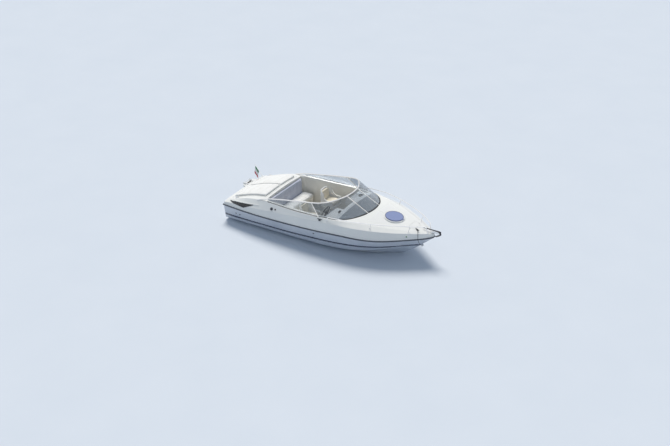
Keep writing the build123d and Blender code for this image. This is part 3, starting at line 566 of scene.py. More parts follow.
@dataclass(frozen=True)
class Vinyl:
    """Marine upholstery vinyl: pebble grain, soft sheen and handled patches."""

    name: str
    colour: Colour
    worn: Colour
    grain: float = 420.0

    def build(self) -> Material:
        """The vinyl as a material.

        Returns:
            The finished material.
        """
        shader = Shader(self.name)
        handled = shader.noise(6.0, 4.0)
        colour = shader.blend(shader.span(handled, 0.42, 0.78, 0.0, 0.75), self.colour, self.worn)
        crease = shader.bump(shader.noise(26.0, 5.0, 0.6), 0.12, 0.004)
        pebble = shader.bump(shader.cells(self.grain, "DISTANCE_TO_EDGE"), 0.35, 0.0006, crease)
        return shader.finish(colour, shader.span(handled, 0.3, 0.8, 0.4, 0.52), pebble,
                             Sheen_Weight=0.08, Sheen_Roughness=0.4)


@dataclass(frozen=True)
class Moulded:
    """Moulded plastic with a fine leather texture."""

    name: str
    colour: Colour
    roughness: float = 0.45
    grain: float = 700.0

    def build(self) -> Material:
        """The plastic as a material.

        Returns:
            The finished material.
        """
        shader = Shader(self.name)
        scuffs = shader.noise(16.0, 6.0, 0.7)
        colour = shader.blend(shader.span(scuffs, 0.5, 0.9), self.colour,
                              tinted(self.colour, 1.35, 0.015))
        return shader.finish(colour, shader.span(scuffs, 0.2, 0.85, self.roughness - 0.08,
                                                 self.roughness + 0.12),
                             shader.bump(shader.cells(self.grain), 0.18, 0.0004))


@dataclass(frozen=True)
class CastPaint:
    """Sprayed paint on a casting: orange peel, salt bloom and chips."""

    name: str
    colour: Colour
    metal: Colour = (0.42, 0.43, 0.44, 1.0)

    def build(self) -> Material:
        """The painted casting as a material.

        Returns:
            The finished material.
        """
        shader = Shader(self.name)
        bloom = shader.noise(4.0, 6.0, 0.7)
        colour = shader.blend(shader.span(bloom, 0.55, 0.85, 0.0, 0.6), self.colour,
                              tinted(self.colour, 1.6, 0.03))
        chips = shader.span(shader.noise(30.0, 6.0, 0.75), 0.74, 0.76)
        colour = shader.blend(chips, colour, self.metal)
        relief = shader.bump(shader.noise(90.0, 3.0), 0.15, 0.001)
        return shader.finish(colour, shader.span(bloom, 0.3, 0.8, 0.28, 0.45), relief,
                             Coat_Weight=0.2, Coat_Roughness=0.15)


@dataclass(frozen=True)
class Bronze:
    """Polished or cast metal of one colour, dulled in patches."""

    name: str
    colour: Colour
    roughness: float = 0.28

    def build(self) -> Material:
        """The metal as a material.

        Returns:
            The finished material.
        """
        shader = Shader(self.name)
        dull = shader.noise(22.0, 6.0, 0.7)
        colour = shader.blend(shader.span(dull, 0.4, 0.85), self.colour, tinted(self.colour, 0.55))
        return shader.finish(colour, shader.span(dull, 0.25, 0.8, self.roughness,
                                                 self.roughness + 0.25),
                             shader.bump(shader.noise(160.0, 3.0), 0.1, 0.0006), Metallic=1.0)


@dataclass(frozen=True)
class Bunting:
    """Woven flag cloth in three upright stripes, hoist to fly."""

    name: str
    hoist: Colour
    middle: Colour
    fly: Colour
    faded: Colour = (0.8, 0.8, 0.8, 1.0)
    joins: Span = (0.333, 0.667)
    join_half: float = 0.0015
    warp_rate: float = 1500.0
    weft_rate: float = 1100.0

    def build(self) -> Material:
        """The cloth as a material on its own chart.

        Returns:
            The finished material.
        """
        shader = Shader(self.name)
        across = shader.axis("X", shader.chart)
        first, second = (shader.span(across, join - self.join_half, join + self.join_half)
                         for join in self.joins)
        colour = shader.blend(second, shader.blend(first, self.hoist, self.middle), self.fly)
        fading = shader.span(shader.noise(9.0, 4.0), 0.4, 0.8, 0.0, 0.16)
        colour = shader.blend(fading, colour, self.faded)
        down = shader.axis("Y", shader.chart)
        warp = shader.math("SINE", shader.math("MULTIPLY", across, self.warp_rate))
        weft = shader.math("SINE", shader.math("MULTIPLY", down, self.weft_rate))
        weave = shader.math("MULTIPLY", warp, weft)
        return shader.finish(colour, 0.78, shader.bump(weave, 0.3, 0.0004), Sheen_Weight=0.25,
                             Sheen_Roughness=0.5)


@dataclass(frozen=True)
class RopeYarn:
    """Polyester yarn with fine fibres along each strand."""

    name: str
    colour: Colour
    fleck: Colour

    def build(self) -> Material:
        """The yarn as a material.

        Returns:
            The finished material.
        """
        shader = Shader(self.name)
        fibres = shader.noise(900.0, 3.0, 0.6)
        flecks = shader.span(shader.noise(130.0, 2.0), 0.6, 0.66)
        colour = shader.blend(flecks, self.colour, self.fleck)
        return shader.finish(colour, 0.8, shader.bump(fibres, 0.5, 0.0006), Sheen_Weight=0.2,
                             Sheen_Roughness=0.6)


@dataclass(frozen=True)
class Studio:
    """Plain pale floor at the waterline, soft light, and the camera at the photograph's angle."""

    target: Point = (0.07, 0.46, 0.0)
    azimuth: float = 31.7
    elevation: float = 28.11
    distance: float = 32.54
    lens: float = 61.79
    sensor: float = 36.0
    reach: float = 400.0
    floor_half: float = 160.0
    floor_pale: Colour = srgb(219, 225, 233)
    floor_dim: Colour = srgb(213, 220, 229)
    sun_strength: float = 2.65
    sun_from: Point = (-0.42, 0.5, 1.0)
    sun_colour: Point = (1.0, 0.95, 0.88)
    sun_width: float = 26.0
    sky: float = 0.44
    sky_colour: Colour = (0.68, 0.82, 1.0, 1.0)
    seen_colour: Colour = (0.97, 0.985, 1.0, 1.0)

    def camera(self) -> None:
        """Place the camera."""
        data = bpy.data.cameras.new("camera")
        data.sensor_width = self.sensor
        data.lens = self.lens
        data.clip_end = self.reach
        eye = bpy.data.objects.new("camera", data)
        bpy.context.scene.collection.objects.link(eye)
        turn, rise = math.radians(self.azimuth), math.radians(self.elevation)
        back = Vector((math.sin(turn) * math.cos(rise), -math.cos(turn) * math.cos(rise),
                       math.sin(rise)))
        eye.location = Vector(self.target) + back * self.distance
        eye.rotation_mode = "QUATERNION"
        eye.rotation_quaternion = (-back).to_track_quat("-Z", "Y")
        bpy.context.scene.camera = eye

    def floor(self) -> None:
        """Lay the pale floor."""
        half = self.floor_half
        mesh = bpy.data.meshes.new("floor")
        mesh.from_pydata([(-half, -half, 0), (half, -half, 0), (half, half, 0), (-half, half, 0)],
                         [], [(0, 1, 2, 3)])
        ground = bpy.data.objects.new("floor", mesh)
        bpy.context.scene.collection.objects.link(ground)
        shader = Shader("floor_paint")
        colour = shader.blend(shader.noise(0.6, 3.0), self.floor_pale, self.floor_dim)
        mesh.materials.append(shader.finish(colour, 0.9, Specular_IOR_Level=0.1))

    def light(self) -> None:
        """Light the boat with a pale sky and one broad sun."""
        world = bpy.data.worlds.new("sky")
        world.use_nodes = True
        nodes = Nodes(world.node_tree)
        nodes.tree.nodes.clear()
        lamp = nodes.filled("ShaderNodeBackground", self.sky_colour, self.sky)
        seen = nodes.filled("ShaderNodeBackground", self.seen_colour, 1.0)
        rays = nodes.node("ShaderNodeLightPath").outputs
        either = nodes.math("MAXIMUM", rays["Is Camera Ray"], rays["Is Glossy Ray"])
        either = nodes.math("MAXIMUM", either, rays["Is Transmission Ray"])
        mix = nodes.filled("ShaderNodeMixShader", either, lamp.outputs[0], seen.outputs[0])
        nodes.filled("ShaderNodeOutputWorld", mix.outputs[0])
        bpy.context.scene.world = world
        data = bpy.data.lights.new("sun", "SUN")
        data.energy = self.sun_strength
        data.color = self.sun_colour
        data.angle = math.radians(self.sun_width)
        sun = bpy.data.objects.new("sun", data)
        bpy.context.scene.collection.objects.link(sun)
        sun.visible_glossy = False
        sun.rotation_mode = "QUATERNION"
        sun.rotation_quaternion = Vector(self.sun_from).to_track_quat("Z", "Y")

    def build(self) -> None:
        """Set up the whole studio."""
        bpy.context.scene.view_settings.view_transform = "Standard"
        self.camera()
        self.floor()
        self.light()


class Store:
    """Every finish by name, made once when it is first asked for."""

    def __init__(self) -> None:
        """Name the finishes."""
        white = srgb(238, 238, 234)
        self.recipes = {recipe.name: recipe for recipe in (
            Gelcoat("lid_white", white, srgb(232, 232, 230)),
            DeckGelcoat("deck_white", white, srgb(232, 232, 230), clearing=(2.22, 0.0, 0.335),
                        foot=((0.0, 4.298), (0.268, 4.262), (0.305, 4.255), (0.48, 4.19),
                              (0.69, 4.05), (0.88, 3.84), (0.98, 3.56), (1.0, 3.3)),
                        panels=(((1.74, 2.48), (0.03, 0.6), (0.85, 1.2)),), taper=0.46),
            PanelGelcoat("liner_white", srgb(244, 240, 230), srgb(232, 227, 216), 0.3,
                         panels=(((-0.82, 0.48), (0.0, 0.72), (0.12, 0.15)),),
                         panel_colour=srgb(196, 194, 188)),
            PanelGelcoat("step_white", white, srgb(226, 226, 224), 0.3,
                         panels=(((-3.08, -2.74), (0.47, 0.68), (0.37, 0.4)),
                                 ((-3.08, -2.74), (0.72, 0.93), (0.37, 0.4)))),
            # Painted shade: the white topsides are coloured blue-grey, as if in shade and lit from the
            # water below.
            StripedGelcoat(
                "topside", srgb(208, 213, 221), srgb(194, 200, 210), 0.16,
                line=((0.0, 0.2), (0.05, 0.2), (0.23, 0.232), (0.35, 0.245), (0.47, 0.285),
                      (0.62, 0.322), (0.77, 0.372), (0.89, 0.39), (1.0, 0.4)),
                bands=(Band(0.0, 0.02, srgb(20, 27, 58)), Band(0.034, 0.005, srgb(24, 32, 66)),
                       Band(-0.028, 0.003, srgb(120, 128, 150)))),
            Gelcoat("intake_black", srgb(20, 22, 28), srgb(34, 36, 44), 0.3),
            Stainless("stainless", (0.86, 0.87, 0.88, 1.0), 0.18),
            Stainless("bright_rim", (0.86, 0.86, 0.86, 1.0), 0.3),
            Stainless("rail_steel", (0.93, 0.93, 0.94, 1.0), 0.3),
            Glazing("smoked_glass", srgb(182, 190, 199), lets_light=True),
            Glazing("clear_glass", srgb(222, 227, 231), lets_light=True),
            Glazing("hatch_acrylic", srgb(142, 157, 204), 0.05, 0.15),
            Glazing("door_acrylic", srgb(34, 36, 42), 0.05, 0.4),
            Rubber("rubrail_rubber", srgb(78, 82, 92)),
            Rubber("gasket_rubber", srgb(26, 27, 30)),
            Vinyl("white_vinyl", srgb(244, 243, 240), srgb(234, 232, 226)),
            # Painted shade: the bench backrest's white vinyl is coloured blue-grey, as if in shade under
            # a blue sky.
            Vinyl("pale_blue_vinyl", srgb(196, 200, 214), srgb(180, 184, 200)),
            Vinyl("piping_vinyl", srgb(206, 205, 202), srgb(190, 188, 184), 900.0),
            Vinyl("cream_vinyl", srgb(236, 227, 208), srgb(224, 213, 192)),
            Vinyl("cabin_fabric", srgb(120, 128, 150), srgb(104, 112, 134), 900.0),
            Moulded("black_plastic", srgb(22, 23, 26)),
            Moulded("white_plastic", srgb(228, 228, 226), 0.35),
            CastPaint("drive_black", srgb(26, 28, 32)),
            CastPaint("engine_grey", srgb(70, 74, 82)),
            Bronze("dark_metal", (0.08, 0.085, 0.1, 1.0), 0.4),
            Bronze("propeller_metal", (0.5, 0.5, 0.5, 1.0), 0.22),
            Bunting("flag_cloth", srgb(16, 122, 72), srgb(240, 240, 236), srgb(196, 34, 44)),
            RopeYarn("painter_yarn", srgb(34, 36, 42), srgb(120, 122, 130)),
            Moulded("thread_grey", srgb(150, 150, 150), 0.7),
            Moulded("lining_foam", srgb(92, 96, 104), 0.85, 260.0),
            Moulded("signal_red", srgb(170, 24, 22), 0.3),
            Moulded("signal_green", srgb(20, 120, 60), 0.3),
            Moulded("dial_face", srgb(12, 12, 14), 0.25),
            Moulded("dial_marks", srgb(235, 235, 230), 0.4),
        )}
        self.made: dict[str, Material] = {}

    def get(self, name: str) -> Material:
        """The material of that name.

        Args:
            name: the finish's name.

        Returns:
            Its material, made once.
        """
        if name not in self.made:
            self.made[name] = self.recipes[name].build()
        return self.made[name]


def circle(frame: Matrix, radius: float, height: float, count: int) -> list[Vector]:
    """Points evenly round a circle, at a height in a frame."""
    return [frame @ Vector((radius * math.cos(turn), radius * math.sin(turn), height))
            for turn in np.linspace(0, math.tau, count, endpoint=False)]


def walls(rings: int, sides: int, closed: bool = False) -> list[tuple[int, ...]]:
    """Faces between rings of points, with two ends unless the last ring joins the first.

    Args:
        rings: how many rings there are.
        sides: points in each ring.
        closed: whether the last ring joins the first.

    Returns:
        The faces, as point numbers.
    """
    faces = []
    for ring in range(rings if closed else rings - 1):
        after_ring = (ring + 1) % rings
        for side in range(sides):
            after = (side + 1) % sides
            faces.append((ring * sides + side, ring * sides + after,
                          after_ring * sides + after, after_ring * sides + side))
    if not closed:
        faces.append(tuple(range(sides))[::-1])
        faces.append(tuple((rings - 1) * sides + side for side in range(sides)))
    return faces


class Shape:
    """Vertices and faces of one piece while it is being made."""

    def __init__(self) -> None:
        """Start with nothing."""
        self.points: list[Vector] = []
        self.faces: list[tuple[int, ...]] = []
        self.finishes: list[int] = []

    def add(self, points: list[Vector], faces: list[tuple[int, ...]], frame: Matrix | None = None,
            finish: int = 0) -> None:
        """Add a closed form.

        Args:
            points: its vertices.
            faces: its faces, counted from its own first vertex.
            frame: where it goes.
            finish: which of the piece's finishes it takes.
        """
        start = len(self.points)
        frame = frame or Matrix.Identity(4)
        self.points += [frame @ Vector(point) for point in points]
        self.faces += [tuple(start + index for index in face) for face in faces]
        self.finishes += [finish] * len(faces)

    def turned(self, profile: list[Span], frame: Matrix, finish: int = 0,
               sides: int = 32) -> None:
        """Add a turned form: a profile of radii and heights, closed at both ends.

        Args:
            profile: radii and heights.
            frame: frame whose Z is the axis.
            finish: which of the piece's finishes it takes.
            sides: points round the axis.
        """
        points = []
        for radius, height in profile:
            points += circle(Matrix.Identity(4), radius, height, sides)
        self.add(points, walls(len(profile), sides), frame, finish)

    def block(self, size: Point, frame: Matrix, finish: int = 0, ease: float = 0.0015) -> None:
        """Add a box about its middle, with its edges eased.

        Args:
            size: its three lengths.
            frame: frame at its middle.
            finish: which of the piece's finishes it takes.
            ease: width of the eased edges.
        """
        form = bmesh.new()
        bmesh.ops.create_cube(form, size=1.0, matrix=Matrix.Diagonal((*size, 1.0)))
        if ease:
            bmesh.ops.bevel(form, geom=form.edges[:], offset=min(ease, 0.3 * min(size)),
                            segments=2, profile=0.7, affect="EDGES")
        form.verts.index_update()
        self.add([vertex.co.copy() for vertex in form.verts],
                 [tuple(vertex.index for vertex in face.verts) for face in form.faces],
                 frame, finish)
        form.free()

    def tube(self, line: list[Vector], radius: float, finish: int = 0, sides: int = 12,
             closed: bool = False) -> None:
        """Add a round tube along a line of points.

        Args:
            line: points along its middle.
            radius: its radius.
            finish: which of the piece's finishes it takes.
            sides: points round it.
            closed: whether it ends where it starts.
        """
        points = []
        for frame in carried_frames(line, closed):
            points += circle(frame, radius, 0.0, sides)
        self.add(points, walls(len(line), sides, closed), None, finish)

    def build(self, name: str, body: Body, slot: str, materials: list[Material],
              sharp: float = 38.0) -> Object:
        """Make the piece.

        Args:
            name: the piece's name.
            body: the body that it rides on.
            slot: the record's material slot; not used.
            materials: its finishes, in the order that the forms name them.
            sharp: edges that turn by more degrees than this stay sharp.

        Returns:
            The finished piece, riding on its body.
        """
        mesh = bpy.data.meshes.new(name)
        mesh.from_pydata([tuple(point) for point in self.points], [], self.faces)
        for material in materials:
            mesh.materials.append(material)
        mesh.polygons.foreach_set("material_index", self.finishes)
        form = bmesh.new()
        form.from_mesh(mesh)
        bmesh.ops.recalc_face_normals(form, faces=form.faces[:])
        form.to_mesh(mesh)
        form.free()
        mesh.polygons.foreach_set("use_smooth", [True] * len(mesh.polygons))
        mesh.set_sharp_from_angle(angle=math.radians(sharp))
        return settle(name, mesh, body)


def settle(name: str, mesh: Mesh, body: Body) -> Object:
    """Link a finished mesh as a piece that rides on a body.

    Args:
        name: the piece's name.
        mesh: its finished mesh.
        body: the body that it rides on.

    Returns:
        The piece.
    """
    made = bpy.data.objects.new(name, mesh)
    bpy.context.scene.collection.objects.link(made)
    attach(made, body.value)
    LOG.info("%s: %d faces on %s", name, len(mesh.polygons), body.value)
    return made


def grid(rows: int, columns: int) -> list[tuple[int, ...]]:
    """Faces of a sheet of points that lie row by row."""
    return [(start, start + 1, start + columns + 1, start + columns)
            for row in range(rows - 1) for start in range(row * columns, (row + 1) * columns - 1)]


def carried_frames(line: list[Vector], closed: bool = False) -> list[Matrix]:
    """Frames along a line that don't twist, with Z along it.

    Args:
        line: the points.
        closed: whether the line ends where it starts.

    Returns:
        One frame for each point.
    """
    count = len(line)
    frames = []
    side = None
    for index, point in enumerate(line):
        if closed:
            before, after = line[index - 1], line[(index + 1) % count]
        else:
            before, after = line[max(index - 1, 0)], line[min(index + 1, count - 1)]
        along = (after - before).normalized()
        if side is None:
            side = along.orthogonal().normalized()
        side = (side - along * side.dot(along)).normalized()
        other = along.cross(side)
        frame = Matrix((side, other, along)).transposed().to_4x4()
        frame.translation = point
        frames.append(frame)
    return frames


def aimed(origin: Vector, way: Vector, turn: float = 0.0) -> Matrix:
    """Frame at a point whose Z points a given way.

    Args:
        origin: the point.
        way: where Z points.
        turn: turn about Z, in radians.

    Returns:
        The frame.
    """
    frame = way.to_track_quat("Z", "Y").to_matrix().to_4x4() @ Matrix.Rotation(turn, 4, "Z")
    frame.translation = origin
    return frame


class Skin:
    """The outside of carried-over solids, read by rays."""

    def __init__(self, nodes: dict[str, Object], names: tuple[str, ...]) -> None:
        """Collect the triangles of some nodes.

        Args:
            nodes: every carried-over node by name.
            names: those to read.
        """
        points, faces = [], []
        for name in names:
            mesh = nodes[name].data
            start = len(points)
            points += [vertex.co.copy() for vertex in mesh.vertices]
            faces += [tuple(start + index for index in face.vertices) for face in mesh.polygons]
        self.tree = BVHTree.FromPolygons(points, faces)

    def above(self, x: float, y: float) -> tuple[Vector, Vector]:
        """Highest point over a place in plan, and the way that the surface faces there.

        Args:
            x: place along the boat.
            y: place across it.

        Returns:
            The point, and the surface's normal there, upwards.
        """
        spot, facing, _, _ = self.tree.ray_cast(Vector((x, y, OVERHEAD)), -UP)
        if spot is None:
            raise ValueError(f"nothing under {x:.3f}, {y:.3f}")
        return spot, facing if facing.z > 0 else -facing

    def along(self, start: Vector, way: Vector) -> tuple[Vector, Vector]:
        """First point that a ray meets, and the way that the surface faces there.

        Args:
            start: where the ray starts.
            way: where it goes.

        Returns:
            The point, and the surface's normal there, back along the ray.
        """
        spot, facing, _, _ = self.tree.ray_cast(start, way.normalized())
        if spot is None:
            raise ValueError(f"nothing ahead of {tuple(start)}")
        return spot, facing if facing.dot(way) < 0 else -facing


class Repeats:
    """Geometry node trees for what repeats: fasteners on a surface, and stitches along a seam."""

    HEAD_RISE = 0.55
    STITCH_STEP = 0.009
    STITCH_SHARE = 0.66

    def __init__(self) -> None:
        """Build both trees."""
        self.fastener_tree = self.fasteners()
        self.stitch_tree = self.stitches()

    @staticmethod
    def opened(name: str, sizes: dict[str, float], seed: int) -> Nodes:
        """New tree with a geometry input, named sizes, a seed and a finish.

        Args:
            name: the tree's name.
            sizes: its size inputs and their values.
            seed: seed of its random turns.

        Returns:
            The tree, with its inputs in place.
        """
        tree = bpy.data.node_groups.new(name, "GeometryNodeTree")
        face = tree.interface
        face.new_socket("Geometry", in_out="INPUT", socket_type="NodeSocketGeometry")
        for label, value in sizes.items():
            face.new_socket(label, in_out="INPUT", socket_type="NodeSocketFloat").default_value = value
        face.new_socket("Seed", in_out="INPUT", socket_type="NodeSocketInt").default_value = seed
        face.new_socket("Finish", in_out="INPUT", socket_type="NodeSocketMaterial")
        face.new_socket("Geometry", in_out="OUTPUT", socket_type="NodeSocketGeometry")
        tree.nodes.new("NodeGroupInput")
        return Nodes(tree)

    @staticmethod
    def closed(nodes: Nodes, instances: NodeSocket, low: Point,
               high: Point) -> NodeTree:
        """End a tree: turn each instance at random between limits, realise all and finish them.

        Args:
            nodes: the tree.
            instances: what it has set out.
            low: least turn about each axis.
            high: greatest turn about each axis.

        Returns:
            The finished tree.
        """
        given = nodes.tree.nodes["Group Input"].outputs
        wild = nodes.node("FunctionNodeRandomValue", {"data_type": "FLOAT_VECTOR"}, Min=low, Max=high,
                          Seed=given["Seed"])
        spin = nodes.node("GeometryNodeRotateInstances", Instances=instances,
                          Rotation=wild.outputs["Value"])
        real = nodes.node("GeometryNodeRealizeInstances", Geometry=spin.outputs[0])
        flat = nodes.node("GeometryNodeSetShadeSmooth", Geometry=real.outputs[0], Shade_Smooth=False)
        paint = nodes.node("GeometryNodeSetMaterial", Geometry=flat.outputs[0],
                           Material=given["Finish"])
        nodes.node("NodeGroupOutput", Geometry=paint.outputs[0])
        return nodes.tree

    def fasteners(self) -> NodeTree:
        """Tree that sets a domed head on every vertex, facing the way stored on it.

        Returns:
            The tree.
        """
        nodes = self.opened("fasteners", {"Head Radius": 0.004, "Head Height": 0.0022}, 5)
        given = nodes.tree.nodes["Group Input"].outputs
        head = nodes.node("GeometryNodeMeshCone", Vertices=12, Depth=given["Head Height"],
                          Radius_Top=nodes.math("MULTIPLY", given["Head Radius"], 0.66),
                          Radius_Bottom=given["Head Radius"])
        facing = nodes.node("GeometryNodeInputNamedAttribute", {"data_type": "FLOAT_VECTOR"},
                            Name="facing")
        aim = nodes.node("FunctionNodeAlignRotationToVector", {"axis": "Z"},
                         Vector=facing.outputs["Attribute"])
        heads = nodes.node("GeometryNodeInstanceOnPoints", Points=given["Geometry"],
                           Instance=head.outputs["Mesh"], Rotation=aim.outputs[0])
        return self.closed(nodes, heads.outputs[0], (0, 0, 0), (0, 0, math.pi))

    def stitches(self) -> NodeTree:
        """Tree that lays a stitch at each step of a line of edges.

        Returns:
            The tree.
        """
        nodes = self.opened("stitches", {"Spacing": 0.009, "Stitch Length": 0.006,
                                         "Thread": 0.0009}, 9)
        given = nodes.tree.nodes["Group Input"].outputs
        line = nodes.node("GeometryNodeMeshToCurve", Mesh=given["Geometry"])
        steps = nodes.node("GeometryNodeCurveToPoints", {"mode": "LENGTH"}, Curve=line.outputs[0],
                           Length=given["Spacing"])
        bead = nodes.node("GeometryNodeMeshUVSphere", Segments=6, Rings=4, Radius=1.0)
        size = nodes.node("ShaderNodeCombineXYZ", X=given["Thread"], Y=given["Thread"],
                          Z=nodes.math("MULTIPLY", given["Stitch Length"], 0.5))
        laid = nodes.node("GeometryNodeInstanceOnPoints", Points=steps.outputs["Points"],
                          Instance=bead.outputs["Mesh"], Rotation=steps.outputs["Rotation"],
                          Scale=size.outputs[0])
        return self.closed(nodes, laid.outputs[0], (-0.06, -0.06, 0), (0.06, 0.06, math.pi))

    @staticmethod
    def baked(name: str, tree: NodeTree, host: Mesh, sizes: dict[str, float],
              material: Material, body: Body, slot: str) -> Object:
        """Run a tree on a host mesh and keep the plain result as a piece.

        Args:
            name: the piece's name.
            tree: the tree to run.
            host: the mesh that it runs on.
            sizes: values of its size inputs.
            material: its finish.
            body: the body that it rides on.
            slot: the record's material slot; not used.

        Returns:
            The piece.
        """
        source = bpy.data.objects.new(name + "_host", host)
        bpy.context.scene.collection.objects.link(source)
        run = source.modifiers.new("repeat", "NODES")
        run.node_group = tree
        for item in tree.interface.items_tree:
            if item.item_type == "SOCKET" and item.in_out == "INPUT":
                if item.name in sizes:
                    run[item.identifier] = sizes[item.name]
                elif item.name == "Finish":
                    run[item.identifier] = material
        source.update_tag()
        graph = bpy.context.evaluated_depsgraph_get()
        graph.update()
        mesh = bpy.data.meshes.new_from_object(source.evaluated_get(graph))
        mesh.name = name
        bpy.data.objects.remove(source)
        return settle(name, mesh, body)

    def screws(self, name: str, spots: list[tuple[Vector, Vector]], radius: float, body: Body,
               slot: str, material: Material) -> Object:
        """Set a row of screw heads.

        Args:
            name: the piece's name.
            spots: points and the way that each faces.
            radius: radius of a head.
            body: the body that they ride on.
            slot: the record's material slot; not used.
            material: their finish.

        Returns:
            One piece with every head.
        """
        host = bpy.data.meshes.new(name + "_spots")
        host.from_pydata([tuple(point) for point, _ in spots], [], [])
        ways = host.attributes.new("facing", "FLOAT_VECTOR", "POINT")
        ways.data.foreach_set("vector", [part for _, way in spots for part in way])
        return self.baked(name, self.fastener_tree, host,
                          {"Head Radius": radius, "Head Height": radius * self.HEAD_RISE},
                          material, body, slot)

    def seam(self, name: str, lines: list[list[Vector]], body: Body, slot: str,
             material: Material) -> Object:
        """Sew along lines of points.

        Args:
            name: the piece's name.
            lines: the seams' points.
            body: the body that they ride on.
            slot: the record's material slot; not used.
            material: the thread's finish.

        Returns:
            One piece with every stitch.
        """
        points, edges = [], []
        for line in lines:
            start = len(points)
            points += [tuple(point) for point in line]
            edges += [(start + index, start + index + 1) for index in range(len(line) - 1)]
        host = bpy.data.meshes.new(name + "_line")
        host.from_pydata(points, edges, [])
        sizes = {"Spacing": self.STITCH_STEP,
                 "Stitch Length": self.STITCH_STEP * self.STITCH_SHARE}
        return self.baked(name, self.stitch_tree, host, sizes, material, body, slot)


@dataclass
class Dressing:
    """Finish of every carried-over solid that keeps its own shape."""

    nodes: dict[str, Object]
    store: Store
    finishes: dict[str, tuple[str, ...]] = field(default_factory=lambda: {
        "topside": ("hull_shell",),
        "deck_white": ("deck_moulding",),
        "lid_white": ("engine_hatch", "anchor_locker_lid", "helm_dash", "companion_dash"),
        "rubrail_rubber": ("rubrail",),
        "liner_white": ("cockpit_liner", "cabin_bulkhead", "berth_base", "bench_base"),
        "door_acrylic": ("companionway_door",),
        "engine_grey": ("engine_block",),
        "black_plastic": ("steering_column", "steering_wheel", "dash_instruments",
                          "throttle_control", "roller_wheel"),
        "white_plastic": ("helm_seat_shell", "companion_seat_shell", "deck_hatch_frame"),
        "bright_rim": ("windshield_frame",),
        "gasket_rubber": ("windshield_gasket",),
        "clear_glass": ("glass_sides",),
        "smoked_glass": ("glass_corners", "glass_centre"),
        "hatch_acrylic": ("deck_hatch_lid",),
        "rail_steel": ("bow_rail_port", "bow_rail_starboard"),
        "stainless": ("helm_seat_pedestal", "companion_seat_pedestal", "bow_roller", "stern_cleats",
                      "bow_eye", "stern_eyes", "boarding_ladder", "flagstaff", "trim_rod_port",
                      "trim_rod_starboard"),
        "dark_metal": ("anchor", "bow_cleat", "midship_cleats", "fuel_filler"),
        "intake_black": ("air_intakes",),
        "step_white": ("swim_step",),
        "drive_black": ("transom_shield", "gimbal_ring", "drive_leg", "trim_cylinder_port",
                        "trim_cylinder_starboard"),
        "propeller_metal": ("propeller",),
    })

    def build(self) -> None:
        """Give each node its finish."""
        for finish, names in self.finishes.items():
            for name in names:
                slots = self.nodes[name].data.materials
                if len(slots) == 0:
                    slots.append(self.store.get(finish))
                for index in range(len(slots)):
                    slots[index] = self.store.get(finish)


@dataclass
class Pad:
    """One soft piece: the solid that it replaces, its finish, and how it swells."""

    node: str
    name: str
    finish: str
    slot: str
    body: Body
    voxel: float
    swell: float
    side_swell: float
    fill: float
    channels: tuple[float, ...] = ()
    channel_axis: int = 1
    upright: bool = False
    piped: Span | None = None


WHOLE: Span = (-9.0, 9.0)
PIPING_GAP = 0.025


def numbers(items: bpy.types.bpy_prop_collection, name: str) -> np.ndarray:
    """Three numbers of each item, as rows.

    Args:
        items: vertices or normals of a mesh.
        name: the property to read.

    Returns:
        One row for each item.
    """
    rows = np.empty(len(items) * 3, np.float32)
    items.foreach_get(name, rows)
    return rows.reshape(-1, 3)


def rounded(near: list[float], far: list[float], radius: float, steps: int = 6) -> list[Span]:
    """Points round a rectangle with rounded corners, a few centimetres apart.

    Args:
        near: the rectangle's least X and Y.
        far: its greatest X and Y.
        radius: radius of its corners.
        steps: steps round each corner.

    Returns:
        The points, in order.
    """
    corners = ((far[0], far[1], 0), (near[0], far[1], 1), (near[0], near[1], 2), (far[0], near[1], 3))
    arcs = []
    for x, y, quarter in corners:
        centre = (x - radius * (1 if quarter in (0, 3) else -1), y - radius * (1 if quarter < 2 else -1))
        for step in range(steps + 1):
            turn = math.pi / 2 * (quarter + step / steps)
            arcs.append((centre[0] + radius * math.cos(turn), centre[1] + radius * math.sin(turn)))
    line = []
    for start, end in zip(arcs, arcs[1:] + arcs[:1]):
        count = max(1, int(math.dist(start, end) / PIPING_GAP))
        line += [(start[0] + (end[0] - start[0]) * part / count,
                  start[1] + (end[1] - start[1]) * part / count) for part in range(count)]
    return line


